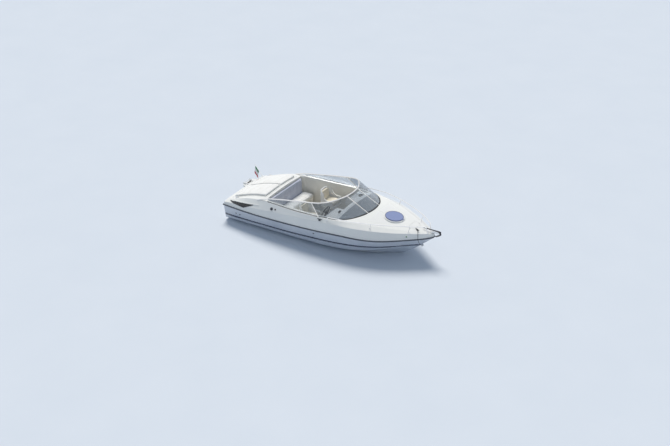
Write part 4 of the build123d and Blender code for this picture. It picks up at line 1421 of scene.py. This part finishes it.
@dataclass
class Upholstery:
    """Sunpad, bench, seats and berths as stuffed vinyl with sewn channels."""

    nodes: dict[str, Object]
    store: Store
    repeats: Repeats
    frames: int = 18
    pressure: float = 4.0
    inset: float = 0.004
    resting: float = -0.6
    channel_depth: float = 0.006
    channel_half: float = 0.007
    edge: float = 0.012
    edge_round: float = 0.05
    piping_radius: float = 0.0035
    seam_steps: int = 40
    thread_lift: float = 0.0006
    sunpad_seams: tuple[int, ...] = (380, 600, 820, 1040)
    bench_seams: tuple[int, ...] = tuple(range(-640, 641, 160))
    bucket_front: Span = (-0.24, 0.1)

    def solids(self, node: str) -> list[Mesh]:
        """Each closed solid of a node as its own welded mesh.

        Args:
            node: the node's name.

        Returns:
            The meshes, from starboard to port.
        """
        whole = bmesh.new()
        whole.from_mesh(self.nodes[node].data)
        bmesh.ops.remove_doubles(whole, verts=whole.verts[:], dist=1e-5)
        left = set(whole.verts)
        meshes = []
        while left:
            start = next(iter(left))
            island, edge = {start}, [start]
            while edge:
                vertex = edge.pop()
                for link in vertex.link_edges:
                    other = link.other_vert(vertex)
                    if other not in island:
                        island.add(other)
                        edge.append(other)
            left -= island
            copy = whole.copy()
            copy.verts.ensure_lookup_table()
            keep = {vertex.index for vertex in island}
            bmesh.ops.delete(copy, geom=[v for v in copy.verts if v.index not in keep],
                             context="VERTS")
            mesh = bpy.data.meshes.new(node + "_solid")
            copy.to_mesh(mesh)
            copy.free()
            meshes.append(mesh)
        whole.free()
        return sorted(meshes, key=lambda mesh: sum(v.co.y for v in mesh.vertices))

    def evaluated(self, source: Object) -> Mesh:
        """The object's mesh with its modifiers run.

        Args:
            source: the object to read.

        Returns:
            A new mesh.
        """
        graph = bpy.context.evaluated_depsgraph_get()
        graph.update()
        return bpy.data.meshes.new_from_object(source.evaluated_get(graph))

    def blown(self, mesh: Mesh, pad: Pad) -> Mesh:
        """Remesh a solid, let cloth under pressure fill it out, and cap how far it goes.

        Args:
            mesh: the solid.
            pad: what it becomes.

        Returns:
            The stuffed mesh.
        """
        scene = bpy.context.scene
        work = bpy.data.objects.new("pad_work", mesh)
        scene.collection.objects.link(work)
        remesh = work.modifiers.new("remesh", "REMESH")
        remesh.mode = "VOXEL"
        remesh.voxel_size = pad.voxel
        grid = self.evaluated(work)
        work.modifiers.clear()
        work.data = grid
        start = numbers(grid.vertices, "co")
        facing = numbers(grid.vertex_normals, "vector")
        grid.vertices.foreach_set("co", (start - facing * self.inset).ravel())
        grid.update()
        cloth = work.modifiers.new("cloth", "CLOTH")
        cloth.settings.use_pressure = True
        cloth.settings.uniform_pressure_force = self.pressure
        cloth.settings.quality = 4
        cloth.settings.effector_weights.gravity = 0.0
        for frame in range(1, self.frames + 1):
            scene.frame_set(frame)
        moved = numbers(self.evaluated(work).vertices, "co")
        work.modifiers.clear()
        scene.frame_set(1)
        shift = moved - start
        level = 0 if pad.upright else 2
        flat = np.abs(facing[:, level])
        cap = pad.side_swell + (pad.swell - pad.side_swell) * np.clip(flat, 0, 1) ** 2
        far = np.linalg.norm(shift, axis=1)
        shift *= np.minimum(1.0, cap / np.maximum(far, 1e-9))[:, None]
        shift[facing[:, 2] < self.resting] = 0.0
        if pad.upright:
            shift[facing[:, 0] < self.resting] = 0.0
        grid.vertices.foreach_set("co", (start + shift).astype(np.float32).ravel())
        grid.update()
        smooth = work.modifiers.new("smooth", "SMOOTH")
        smooth.iterations = 3
        finer = work.modifiers.new("finer", "SUBSURF")
        finer.levels = finer.render_levels = 1
        result = self.evaluated(work)
        bpy.data.objects.remove(work)
        return result

    def sewn(self, mesh: Mesh, pad: Pad) -> None:
        """Press the sewn channels into the upper face.

        Args:
            mesh: the stuffed mesh.
            pad: where its channels lie.
        """
        if not pad.channels:
            return
        points = numbers(mesh.vertices, "co")
        facing = numbers(mesh.vertex_normals, "vector")
        lines = np.array(pad.channels, float)
        away = np.abs(points[:, pad.channel_axis][:, None] - lines[None, :]).min(axis=1)
        press = self.channel_depth * np.exp(-((away / self.channel_half) ** 2))
        shown = np.clip(facing[:, 0] if pad.upright else facing[:, 2], 0, 1)
        points -= facing * (press * shown)[:, None]
        mesh.vertices.foreach_set("co", points.astype(np.float32).ravel())
        mesh.update()

    def make(self, pad: Pad) -> list[Object]:
        """Build the soft pieces that stand for one solid.

        Args:
            pad: what to build.

        Returns:
            Its pieces, one for each solid.
        """
        pieces = []
        solids = self.solids(pad.node)
        for index, solid in enumerate(solids):
            mesh = self.blown(solid, pad)
            self.sewn(mesh, pad)
            mesh.materials.clear()
            mesh.materials.append(self.store.get(pad.finish))
            mesh.polygons.foreach_set("use_smooth", [True] * len(mesh.polygons))
            name = pad.name if len(solids) == 1 else f"{pad.name}_{index + 1}"
            mesh.name = name
            made = settle(name, mesh, pad.body)
            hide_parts(pad.node)
            pieces.append(made)
        return pieces

    def build(self) -> None:
        """Build every soft piece of the cockpit, deck and cabin."""
        across = tuple((station - ORIGIN_STATION) / 1000 for station in self.sunpad_seams)
        breadths = tuple(breadth / 1000 for breadth in self.bench_seams)
        for pad in (
            Pad("sunpad", "sunpad_cushion", "white_vinyl", "vinyl_white", Body.ENGINE_LID,
                voxel=0.018, swell=0.012, side_swell=0.003, fill=0.7, channels=across,
                channel_axis=0, piped=WHOLE),
            Pad("bench_cushion", "bench_seat_pad", "white_vinyl", "vinyl_white", Body.BOAT,
                voxel=0.015, swell=0.016, side_swell=0.004, fill=0.7, channels=breadths,
                piped=WHOLE),
            # The backrest's blue-grey is painted shade on white vinyl.
            Pad("bench_backrest", "bench_back_pad", "pale_blue_vinyl", "vinyl_white", Body.BOAT,
                voxel=0.015, swell=0.014, side_swell=0.003, fill=0.65, channels=breadths,
                upright=True),
            Pad("helm_seat_cushion", "helm_seat_pad", "cream_vinyl", "vinyl_tan", Body.HELM_SEAT,
                voxel=0.011, swell=0.012, side_swell=0.003, fill=0.7, piped=self.bucket_front),
            Pad("companion_seat_cushion", "companion_seat_pad", "cream_vinyl", "vinyl_tan",
                Body.COMPANION_SEAT, voxel=0.011, swell=0.012, side_swell=0.003, fill=0.7,
                piped=self.bucket_front),
            Pad("berth_cushions", "berth_pad", "cabin_fabric", "fabric_berth", Body.BOAT,
                voxel=0.022, swell=0.016, side_swell=0.003, fill=0.6),
        ):
            self.trim(pad, self.make(pad))

    def trim(self, pad: Pad, pieces: list[Object]) -> None:
        """Lay piping round the upper edge of each pad and stitches along its channels.

        Args:
            pad: what was built.
            pieces: its pieces.
        """
        if pad.upright or not pad.piped:
            return
        cords, seams = Shape(), []
        for piece in pieces:
            top = Skin({piece.name: piece}, (piece.name,))
            low, high = pad.piped
            spots = [vertex.co for vertex in piece.data.vertices if low < vertex.co.x < high]
            near = [min(spot[axis] for spot in spots) + self.edge for axis in (0, 1)]
            far = [max(spot[axis] for spot in spots) - self.edge for axis in (0, 1)]
            line = [top.above(x, y)[0] for x, y in rounded(near, far, self.edge_round)]
            cords.tube(line, self.piping_radius, sides=8, closed=True)
            for channel in pad.channels:
                across = 1 - pad.channel_axis
                first, second = near[across], far[across]
                if pad.channel_axis == 1 and not near[1] < channel < far[1]:
                    continue
                steps = [first + (second - first) * step / self.seam_steps
                         for step in range(1, self.seam_steps)]
                row = [top.above(channel, step) if pad.channel_axis == 0 else top.above(step, channel)
                       for step in steps]
                seams.append([spot + facing * self.thread_lift for spot, facing in row])
        cords.build(pad.name + "_piping", pad.body, pad.slot, [self.store.get("piping_vinyl")], 60.0)
        if seams:
            self.repeats.seam(pad.name + "_stitches", seams, pad.body, pad.slot,
                              self.store.get("thread_grey"))


@dataclass
class MooringLine:
    """Three-strand painter from the bow cleat, outside the rail, to the bow eye."""

    store: Store
    route: tuple[Point, ...] = (
        (5705, -165, 918), (5745, -215, 912), (5790, -290, 880), (5818, -345, 800),
        (5835, -352, 690), (5848, -300, 590), (5850, -210, 500), (5846, -120, 430),
        (5824, -60, 402), (5818, -12, 405))
    diameter: float = 0.012
    lay_turns: float = 24.0
    lay_ratio: float = 2.155
    strands: int = 3
    strand_sides: int = 10
    slot: str = "rope_dark"

    def centreline(self) -> list[Vector]:
        """Points read from the route's own smooth spline.

        Returns:
            The points, a few millimetres apart.
        """
        curve = bpy.data.curves.new("painter_route", "CURVE")
        curve.dimensions = "3D"
        curve.resolution_u = 24
        spline = curve.splines.new("NURBS")
        spline.points.add(len(self.route) - 1)
        for point, spot in zip(spline.points, self.route):
            point.co = (*place(*spot), 1.0)
        spline.order_u = 3
        spline.use_endpoint_u = True
        carrier = bpy.data.objects.new("painter_route", curve)
        bpy.context.scene.collection.objects.link(carrier)
        graph = bpy.context.evaluated_depsgraph_get()
        graph.update()
        line = bpy.data.meshes.new_from_object(carrier.evaluated_get(graph))
        points = [vertex.co.copy() for vertex in line.vertices]
        bpy.data.objects.remove(carrier)
        return points

    def build(self) -> None:
        """Lay three strands round the line."""
        line = self.centreline()
        length = sum((b - a).length for a, b in zip(line, line[1:]))
        frames = carried_frames(line)
        strand = self.diameter / 2 / self.lay_ratio
        offset = self.diameter / 2 - strand
        shape = Shape()
        travelled = 0.0
        turns = [0.0]
        for a, b in zip(line, line[1:]):
            travelled += (b - a).length
            turns.append(travelled / length * self.lay_turns * math.tau)
        for number in range(self.strands):
            lead = math.tau * number / self.strands
            path = [frame @ Vector((offset * math.cos(turn + lead), offset * math.sin(turn + lead), 0))
                    for frame, turn in zip(frames, turns)]
            shape.tube(path, strand * 1.02, sides=self.strand_sides)
        rope = shape.build("painter", Body.BOAT, self.slot, [self.store.get("painter_yarn")], 60.0)
        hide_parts("mooring_line")
        LOG.info("painter: %.3f m", length)


@dataclass(frozen=True)
class Ripple:
    """One wave of a hanging cloth: turns along and down it, how it grows, and its share."""

    along: float
    down: float
    growth: float
    share: float

    def height(self, u: float, v: float) -> float:
        """How far the wave stands out at a place of the cloth."""
        return math.sin(u * self.along + v * self.down) * u ** self.growth * self.share


@dataclass
class Flag:
    """Small three-stripe flag hanging from its raked staff."""

    nodes: dict[str, Object]
    store: Store
    columns: int = 60
    rows: int = 40
    wave: float = 0.012
    ripples: tuple[Ripple, ...] = (Ripple(7.2, 1.4, 0.8, 1.0), Ripple(3.1, -3.3, 1.0, 0.5))
    staff_foot: Point = (60, 815, 0)
    staff_way: Point = (-0.27, 0.02, 0.30)
    fly_way: Point = (-0.2, 0.04, -0.98)
    hoist: Span = (0.21, 0.40)
    fly: float = 0.28
    thickness: float = 0.0012
    ball: float = 0.013
    ball_at: float = 0.424
    slot: str = "cloth_flag"

    def build(self) -> None:
        """Wave the cloth inside the space of its solid."""
        top, low, low_fly, top_fly = self.corners()
        out = (low - top).cross(top_fly - top).normalized()
        points, chart = [], []
        for column in range(self.columns + 1):
            u = column / self.columns
            for row in range(self.rows + 1):
                v = row / self.rows
                point = top.lerp(top_fly, u).lerp(low.lerp(low_fly, u), v)
                wave = self.wave * sum(ripple.height(u, v) for ripple in self.ripples)
                points.append(point + out * wave)
                chart.append((u, 1 - v))
        faces = [(face[0], *face[:0:-1]) for face in grid(self.columns + 1, self.rows + 1)]
        mesh = bpy.data.meshes.new("flag_cloth_piece")
        mesh.from_pydata([tuple(point) for point in points], [], faces)
        layer = mesh.uv_layers.new(name="UVMap")
        for loop in mesh.loops:
            layer.data[loop.index].uv = chart[loop.vertex_index]
        mesh.materials.append(self.store.get("flag_cloth"))
        mesh.polygons.foreach_set("use_smooth", [True] * len(mesh.polygons))
        cloth = settle("flag_cloth_piece", mesh, Body.BOAT)
        thick = cloth.modifiers.new("thick", "SOLIDIFY")
        thick.thickness = self.thickness
        thick.offset = 0.0
        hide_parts("flag")

    def corners(self) -> tuple[Vector, Vector, Vector, Vector]:
        """Hoist top, hoist foot, fly foot and fly top of the cloth.

        Returns:
            The four corners, in that order.
        """
        way = Vector(self.staff_way).normalized()
        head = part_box("flagstaff")[1].z - self.ball
        reach = self.ball_at * way.z
        foot = Vector((*place(*self.staff_foot)[:2], head - reach))
        fly = Vector(self.fly_way).normalized() * self.fly
        top, low = foot + way * self.hoist[1], foot + way * self.hoist[0]
        return top, low, low + fly, top + fly


@dataclass
class Fittings:
    """What every fittings class shares: the nodes, the finishes and the repeated pieces."""

    nodes: dict[str, Object]
    store: Store
    repeats: Repeats

    def finishes(self, *names: str) -> list[Material]:
        """Several finishes by name."""
        return [self.store.get(name) for name in names]

    def skin(self, *names: str) -> Skin:
        """The outside of some nodes."""
        return Skin(self.nodes, names)


@dataclass
class DeckFittings(Fittings):
    """Screws, lights, vents, outlets and latches on the deck and topsides."""

    hatch: Point = (4920, 0, 0)
    ring_radius: float = 0.272
    ring_screws: int = 12
    ring_screw: float = 0.0042
    dog_place: Point = (-0.17, 0.07, -0.018)
    lid_radius: float = 0.2455
    seal_radius: float = 0.0045
    rail_feet: tuple[Span, ...] = ((3452, 1052), (4620, 800), (5540, 355), (5975, 98))
    foot_circle: float = 0.0195
    foot_turns: Point = (0.6, 2.7, 4.8)
    foot_screw: float = 0.0032
    intake_screw: float = 0.004
    abeam: float = 1.6
    intake_corners: tuple[Span, ...] = ((250, 639), (640, 704), (880, 740), (560, 632), (880, 696))
    outlet_places: tuple[tuple[int, int, int], ...] = ((3060, 480, -1), (420, 330, -1),
                                                       (560, 330, -1), (420, 330, 1))
    vent_place: Point = (1812, -1098, 0)
    light_place: Point = (5540, 1100, 790)
    latch_places: tuple[tuple[str, Body, int, int], ...] = (
        ("anchor_locker_lid", Body.LOCKER_LID, 5616, 0),
        ("engine_hatch", Body.ENGINE_LID, 1272, 560),
        ("engine_hatch", Body.ENGINE_LID, 1272, -560))

    def hatch_frame(self) -> Matrix:
        """Frame of the round hatch, flat on its lid.

        Returns:
            The frame, with Z upwards.
        """
        lid = self.skin("deck_hatch_lid")
        middle = place(*self.hatch)
        spot, facing = lid.above(middle.x, middle.y)
        frame = Matrix.Identity(4)
        side = Vector((0, 1, 0))
        along = side.cross(facing)
        for column, way in enumerate((along, side, facing)):
            frame.col[column] = (*way, 0.0)
        frame.translation = spot
        return frame

    def hatch_trim(self) -> None:
        """Seal round the acrylic, dogs under it and screws in its ring."""
        frame = self.hatch_frame()
        seal = Shape()
        seal.tube(circle(frame, self.lid_radius, -0.001, 72), self.seal_radius, closed=True)
        seal.build("hatch_seal", Body.HATCH_LID, "rubber_dark", self.finishes("gasket_rubber"))
        dogs = Shape()
        for side in (-1, 1):
            x, y, z = self.dog_place
            local = frame @ Matrix.Translation((x, y * side, z))
            dogs.turned([(0.011, -0.016), (0.013, 0.0)], local, 0, 16)
            dogs.block((0.052, 0.016, 0.008), local @ Matrix.Translation((0.018, 0, -0.012)), 0, 0.003)
        dogs.build("hatch_dogs", Body.HATCH_LID, "hatch_acrylic", self.finishes("black_plastic"))
        ring = self.skin("deck_hatch_frame")
        spots = []
        for index in range(self.ring_screws):
            turn = math.tau * (index + 0.5) / self.ring_screws
            point = frame @ Vector((self.ring_radius * math.cos(turn), self.ring_radius * math.sin(turn),
                                    0.0))
            spots.append(ring.above(point.x, point.y))
        self.repeats.screws("hatch_screws", spots, self.ring_screw, Body.BOAT, "stainless",
                            self.store.get("stainless"))

    def rail_screws(self) -> None:
        """Three screws in each foot of the bow rails."""
        rails = self.skin("bow_rail_port", "bow_rail_starboard", "deck_moulding")
        spots = []
        for station, breadth in self.rail_feet:
            for side in (-1, 1):
                middle = place(station, breadth * side, 0)
                for turn in self.foot_turns:
                    spots.append(rails.above(middle.x + self.foot_circle * math.cos(turn),
                                             middle.y + self.foot_circle * math.sin(turn)))
        self.repeats.screws("rail_screws", spots, self.foot_screw, Body.BOAT, "stainless",
                            self.store.get("stainless"))

    def intake_screws(self) -> None:
        """Screws along the frames of the air intakes."""
        sides = self.skin("air_intakes")
        corners = [place(station, 0, height) for station, height in self.intake_corners]
        spots = [sides.along(Vector((spot.x, self.abeam * side, spot.z)), Vector((0, -side, 0)))
                 for spot in corners for side in (-1, 1)]
        self.repeats.screws("intake_screws", spots, self.intake_screw, Body.BOAT, "stainless",
                            self.store.get("dark_metal"))

    def outlets(self) -> None:
        """Through-hull outlets in the topsides, and the tank vent beside the filler."""
        hull = self.skin("hull_shell", "deck_moulding")
        flanges = Shape()
        for station, height, side in self.outlet_places:
            spot = place(station, 0, height)
            point, facing = hull.along(Vector((spot.x, self.abeam * side, spot.z)),
                                       Vector((0, -side, 0)))
            frame = aimed(point, facing)
            flanges.turned([(0.022, -0.004), (0.022, 0.003), (0.017, 0.006), (0.011, 0.006)],
                           frame, 0, 28)
            flanges.turned([(0.0105, 0.002), (0.0105, 0.0064)], frame, 1, 20)
        flanges.build("hull_outlets", Body.BOAT, "dark_plastic",
                      self.finishes("dark_metal", "intake_black"))
        spot = place(*self.vent_place)
        point, facing = hull.above(spot.x, spot.y)
        vent = Shape()
        vent.turned([(0.024, -0.003), (0.024, 0.004), (0.018, 0.014), (0.007, 0.018)],
                    aimed(point, facing), 0, 28)
        vent.build("tank_vent", Body.BOAT, "dark_plastic", self.finishes("black_plastic"))

    def lights(self) -> None:
        """Side lights at the bow."""
        hull = self.skin("deck_moulding")
        station, breadth, height = self.light_place
        for side, name, glass in ((-1, "starboard", "signal_green"), (1, "port", "signal_red")):
            point, facing = hull.along(place(station, breadth * side, height), Vector((0, -side, 0)))
            frame = aimed(point, facing)
            lamp = Shape()
            lamp.turned([(0.024, -0.004), (0.026, 0.004), (0.021, 0.008)], frame, 0, 28)
            lamp.turned([(0.019, 0.006), (0.0185, 0.016), (0.013, 0.022), (0.005, 0.0245)],
                        frame, 1, 24)
            lamp.build(f"side_light_{name}", Body.BOAT, "stainless", self.finishes("stainless", glass))

    def latches(self) -> None:
        """Flush ring latches on the locker lid and the engine hatch."""
        for node, body, station, breadth in self.latch_places:
            spot = place(station, breadth, 0)
            point, facing = self.skin(node).above(spot.x, spot.y)
            frame = aimed(point, facing)
            latch = Shape()
            latch.turned([(0.0175, -0.002), (0.0175, 0.0012), (0.015, 0.0022)], frame, 0, 28)
            latch.tube(circle(frame, 0.0105, 0.0034, 28), 0.0014, closed=True, sides=8)
            latch.build(f"latch_{node}_{breadth + 1000}", body, "stainless", self.finishes("stainless"))

    def build(self) -> None:
        """Fit everything."""
        self.hatch_trim()
        self.rail_screws()
        self.intake_screws()
        self.outlets()
        self.lights()
        self.latches()


@dataclass
class CockpitFittings(Fittings):
    """Dials, switches, handles, speakers and the cabin door's hardware."""

    wheel_y: float = -560.0
    wheel_rake: float = 22.0
    dial_station: float = 3266.0
    dial_row: tuple[Span, ...] = ((-210, 27), (-140, 27), (-56, 37), (56, 37), (140, 27))
    dial_sweep: float = 270.0
    dial_marks: int = 9
    seen_from: float = 3000.0
    switches: int = 6
    first_switch: float = 100.0
    switch_step: float = 28.0
    switch_height: float = 860.0
    key_place: Span = (-120, 850)
    glove_place: Span = (620, 862)
    rail_station: float = 3340.0
    rail_ends: Span = (440, 700)
    rail_radius: float = 0.0085
    handle_ends: Span = (3010, 3150)
    handle_height: float = 800.0
    speaker_places: tuple[tuple[int, int, int], ...] = ((2100, 560, 1), (2100, 560, -1),
                                                        (3120, 520, 1))
    knob_place: Span = (-190, 560)
    louvres: int = 6
    louvre_foot: float = 300.0
    louvre_step: float = 24.0

    def dial(self, shape: Shape, frame: Matrix, radius: float, reading: float) -> None:
        """Add one dial: rim, face, marks and needle.

        Args:
            shape: the piece to add to.
            frame: frame at its middle.
            radius: radius of the rim.
            reading: the needle's share of the sweep.
        """
        shape.turned([(radius, -0.002), (radius, 0.006), (radius * 0.93, 0.0085),
                      (radius * 0.88, 0.006)], frame, 0, 36)
        shape.turned([(radius * 0.87, 0.003), (radius * 0.87, 0.0063)], frame, 1, 36)
        for index in range(self.dial_marks):
            turn = math.radians(225 - self.dial_sweep * index / (self.dial_marks - 1))
            mark = (frame @ Matrix.Rotation(turn, 4, "Z")
                    @ Matrix.Translation((radius * 0.72, 0, 0.0066)))
            shape.block((radius * 0.16, radius * 0.035, 0.0006), mark, 2, 0.0)
        needle = frame @ Matrix.Rotation(math.radians(225 - self.dial_sweep * reading), 4, "Z")
        shape.block((radius * 0.66, radius * 0.04, 0.0008),
                    needle @ Matrix.Translation((radius * 0.26, 0, 0.0076)), 3, 0.0)
        shape.turned([(radius * 0.09, 0.0062), (radius * 0.08, 0.0088)], frame, 1, 14)

    def helm(self) -> None:
        """Dials on the slope of the dash and switches on its face."""
        dash = self.skin("helm_dash")
        dials, switches = Shape(), Shape()
        for index, (offset, radius) in enumerate(self.dial_row):
            spot = place(self.dial_station, self.wheel_y + offset, 0)
            point, facing = dash.above(spot.x, spot.y)
            self.dial(dials, aimed(point, facing, math.pi / 2), radius / 1000, 0.08 + 0.03 * index)
        dials.build("helm_dials", Body.BOAT, "dark_plastic",
                    self.finishes("stainless", "dial_face", "dial_marks", "signal_red"))
        for index in range(self.switches):
            breadth = self.wheel_y + self.first_switch + self.switch_step * index
            point, facing = dash.along(place(self.seen_from, breadth, self.switch_height), AHEAD)
            frame = aimed(point, facing)
            switches.block((0.02, 0.034, 0.004), frame, 0, 0.0012)
            lean = frame @ Matrix.Translation((0, 0, 0.003)) @ Matrix.Rotation(0.16, 4, "X")
            switches.block((0.013, 0.026, 0.006), lean, 1, 0.0012)
        breadth, height = self.key_place
        point, facing = dash.along(place(self.seen_from, self.wheel_y + breadth, height), AHEAD)
        switches.turned([(0.015, -0.002), (0.015, 0.004), (0.009, 0.009)], aimed(point, facing), 2, 24)
        switches.build("helm_switches", Body.BOAT, "dark_plastic",
                       self.finishes("black_plastic", "dial_face", "stainless"))

    def companion(self) -> None:
        """Glove box lid and grab rail on the port dash."""
        dash = self.skin("companion_dash")
        point, facing = dash.along(place(self.seen_from, *self.glove_place), AHEAD)
        box = Shape()
        box.block((0.3, 0.07, 0.006), aimed(point, facing), 0, 0.002)
        box.turned([(0.011, 0.0), (0.011, 0.007), (0.007, 0.009)],
                   aimed(point, facing) @ Matrix.Translation((0, -0.02, 0)), 1, 20)
        box.build("glove_box", Body.BOAT, "dark_plastic", self.finishes("white_plastic", "stainless"))
        start, end = (dash.above(*place(self.rail_station, breadth, 0)[:2])[0]
                      for breadth in self.rail_ends)
        rise = Vector((0, 0, 0.045))
        line = [start - rise * 0.1, start + rise * 0.7, start + rise + Vector((0, 0.012, 0)),
                end + rise - Vector((0, 0.012, 0)), end + rise * 0.7, end - rise * 0.1]
        bar = Shape()
        bar.tube(line, self.rail_radius, sides=14)
        bar.build("companion_grab_rail", Body.BOAT, "stainless", self.finishes("stainless"))

    def wheel(self) -> None:
        """Horn cap on the hub of the steering wheel."""
        low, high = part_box("steering_wheel")
        middle = (low + high) / 2
        rake = math.radians(self.wheel_rake)
        frame = aimed(middle, Vector((-math.cos(rake), 0, math.sin(rake))))
        cap = Shape()
        cap.turned([(0.034, 0.0), (0.034, 0.006), (0.03, 0.011), (0.016, 0.0135)], frame, 0, 36)
        cap.turned([(0.013, 0.013), (0.0125, 0.0148)], frame, 1, 24)
        cap.build("horn_cap", Body.WHEEL, "dark_plastic", self.finishes("black_plastic", "stainless"))

    def sides(self) -> None:
        """Speakers in the cockpit sides and a grab handle on the port one."""
        liner = self.skin("cockpit_liner")
        parts = Shape()
        for station, height, side in self.speaker_places:
            spot = place(station, 0, height)
            point, facing = liner.along(spot, Vector((0, side, 0)))
            frame = aimed(point, facing)
            parts.turned([(0.084, -0.002), (0.084, 0.006), (0.078, 0.01), (0.07, 0.008)], frame, 0, 48)
            for ring in range(1, 6):
                parts.tube(circle(frame, 0.011 * ring, 0.0095, 40), 0.0022, 1, 6, True)
        parts.build("speakers", Body.BOAT, "dark_plastic", self.finishes("white_plastic", "thread_grey"))
        ends = [liner.along(place(station, 0, self.handle_height), Vector((0, 1, 0)))[0]
                for station in self.handle_ends]
        inboard = Vector((0, -0.042, 0))
        handle = Shape()
        handle.tube([ends[0] - inboard * 0.1, ends[0] + inboard, ends[1] + inboard,
                     ends[1] - inboard * 0.1], self.rail_radius, sides=14)
        for end in ends:
            handle.turned([(0.021, -0.002), (0.021, 0.003), (0.016, 0.006)],
                          aimed(end, Vector((0, -1, 0))), 0, 28)
        handle.build("side_grab_handle", Body.BOAT, "stainless", self.finishes("black_plastic"))

    def door(self) -> None:
        """Knob and louvres of the cabin door."""
        leaf = self.skin("companionway_door")
        point, facing = leaf.along(place(self.seen_from, *self.knob_place), AHEAD)
        knob = Shape()
        knob.turned([(0.019, -0.001), (0.019, 0.005), (0.009, 0.008), (0.009, 0.022), (0.019, 0.028),
                     (0.019, 0.04), (0.012, 0.044)], aimed(point, facing), 0, 28)
        for row in range(self.louvres):
            height = self.louvre_foot + self.louvre_step * row
            spot, way = leaf.along(place(self.seen_from, 0, height), AHEAD)
            knob.block((0.26, 0.009, 0.007), aimed(spot, way), 1, 0.002)
        knob.build("door_hardware", Body.CABIN_DOOR, "stainless",
                   self.finishes("stainless", "black_plastic"))

    def build(self) -> None:
        """Fit everything."""
        self.helm()
        self.companion()
        self.wheel()
        self.sides()
        self.door()


@dataclass
class SternFittings(Fittings):
    """Shield bolts, drive details, ladder treads and the lining under the engine hatch."""

    lining_x: Span = (-2.46, -1.52)
    lining_y: Span = (-0.66, 0.66)
    under_lid: float = 0.3
    lining_gap: float = 0.001
    lining_edge: float = 0.008
    lining_crown: float = 0.008
    quilts: tuple[int, int] = (6, 8)
    quilt_steps: int = 6
    rung_stations: tuple[float, ...] = tuple(-457 + 340 * step / 3 for step in (1, 2, 3))
    rung_height: float = 407.0
    tread_breadths: tuple[int, ...] = (585, 630, 730, 775)
    tread_radius: float = 0.0105
    astern: float = -400.0
    abeam: float = 300.0
    inlets: int = 4
    inlet_place: Span = (-400, -380)
    inlet_step: Span = (-14, 4)
    anode_place: Span = (-420, -20)
    anode_bolts: int = 4
    anode_circle: float = 0.036
    shield_bolt: float = 0.009
    shield_bolts: tuple[Span, ...] = ((-160, 110), (160, 110), (-165, -20), (165, -20),
                                      (-160, -150), (160, -150), (-80, 145), (80, 145))

    def lining(self) -> None:
        """Quilted foam under the engine hatch."""
        lid = self.skin("engine_hatch")
        rows, columns = (count * self.quilt_steps + 1 for count in self.quilts)
        under, over = [], []
        for row, x in enumerate(np.linspace(*self.lining_x, rows)):
            for column, y in enumerate(np.linspace(*self.lining_y, columns)):
                spot, _ = lid.along(Vector((x, y, self.under_lid)), UP)
                crown = abs(math.sin(math.pi * row / self.quilt_steps)
                            * math.sin(math.pi * column / self.quilt_steps))
                under.append(spot - Vector((0, 0, self.lining_edge + self.lining_crown * crown)))
                over.append(spot - Vector((0, 0, self.lining_gap)))
        count = rows * columns
        faces = []
        for face in grid(rows, columns):
            faces += [face, tuple(count + index for index in reversed(face))]
        edge = list(range(columns))
        edge += [row * columns + columns - 1 for row in range(1, rows)]
        edge += [(rows - 1) * columns + column for column in reversed(range(columns - 1))]
        edge += [row * columns for row in reversed(range(1, rows - 1))]
        for first, second in zip(edge, edge[1:] + edge[:1]):
            faces.append((first, second, count + second, count + first))
        foam = Shape()
        foam.add(under + over, faces)
        foam.build("engine_lid_lining", Body.ENGINE_LID, "rubber_dark",
                   self.finishes("lining_foam"), 60.0)

    def bolts(self) -> None:
        """Bolts of the transom shield."""
        shield = self.skin("transom_shield")
        spots = [shield.along(place(self.astern, *spot), AHEAD) for spot in self.shield_bolts]
        self.repeats.screws("shield_bolts", spots, self.shield_bolt, Body.BOAT, "drive_paint",
                            self.store.get("stainless"))

    def drive(self) -> None:
        """Inlets and a bolted anode on each side of the drive leg."""
        leg = self.skin("drive_leg")
        parts = Shape()
        for side in (-1, 1):
            inboard = Vector((0, -side, 0))
            for row in range(self.inlets):
                station, height = (first + step * row for first, step in
                                   zip(self.inlet_place, self.inlet_step))
                point, facing = leg.along(place(station, self.abeam * side, height), inboard)
                parts.block((0.007, 0.05, 0.004), aimed(point, facing), 0, 0.001)
            station, height = self.anode_place
            point, facing = leg.along(place(station, self.abeam * side, height), inboard)
            frame = aimed(point, facing)
            parts.turned([(0.05, -0.001), (0.05, 0.003), (0.044, 0.006)], frame, 1, 40)
            for bolt in range(self.anode_bolts):
                turn = math.tau * (bolt + 0.5) / self.anode_bolts
                spot = Vector((math.cos(turn), math.sin(turn), 0)) * self.anode_circle
                parts.turned([(0.006, 0.005), (0.006, 0.009)], frame @ Matrix.Translation(spot), 0, 6)
        parts.build("drive_details", Body.DRIVE, "drive_paint",
                    self.finishes("intake_black", "drive_black"))

    def treads(self) -> None:
        """Rubber treads on the ladder's rungs."""
        treads = Shape()
        for rung in self.rung_stations:
            line = [place(rung, breadth, self.rung_height) for breadth in self.tread_breadths]
            treads.tube(line, self.tread_radius, sides=14)
        treads.build("ladder_treads", Body.LADDER, "dark_plastic", self.finishes("black_plastic"))

    def build(self) -> None:
        """Fit everything."""
        self.lining()
        self.bolts()
        self.drive()
        self.treads()


def main() -> None:
    """Build the boat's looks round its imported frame."""
    logging.basicConfig(level=logging.INFO, format="%(message)s")
    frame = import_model()
    nodes = frame["nodes"]
    store = Store()
    repeats = Repeats()
    Studio().build()
    LOG.info("studio ready")
    MooringLine(store).build()
    Flag(nodes, store).build()
    Dressing(nodes, store).build()
    LOG.info("solids dressed")
    for fittings in (DeckFittings, CockpitFittings, SternFittings):
        fittings(nodes, store, repeats).build()
    LOG.info("fittings done")
    Upholstery(nodes, store, repeats).build()
    LOG.info("upholstery done")


if __name__ == "__main__":
    main()
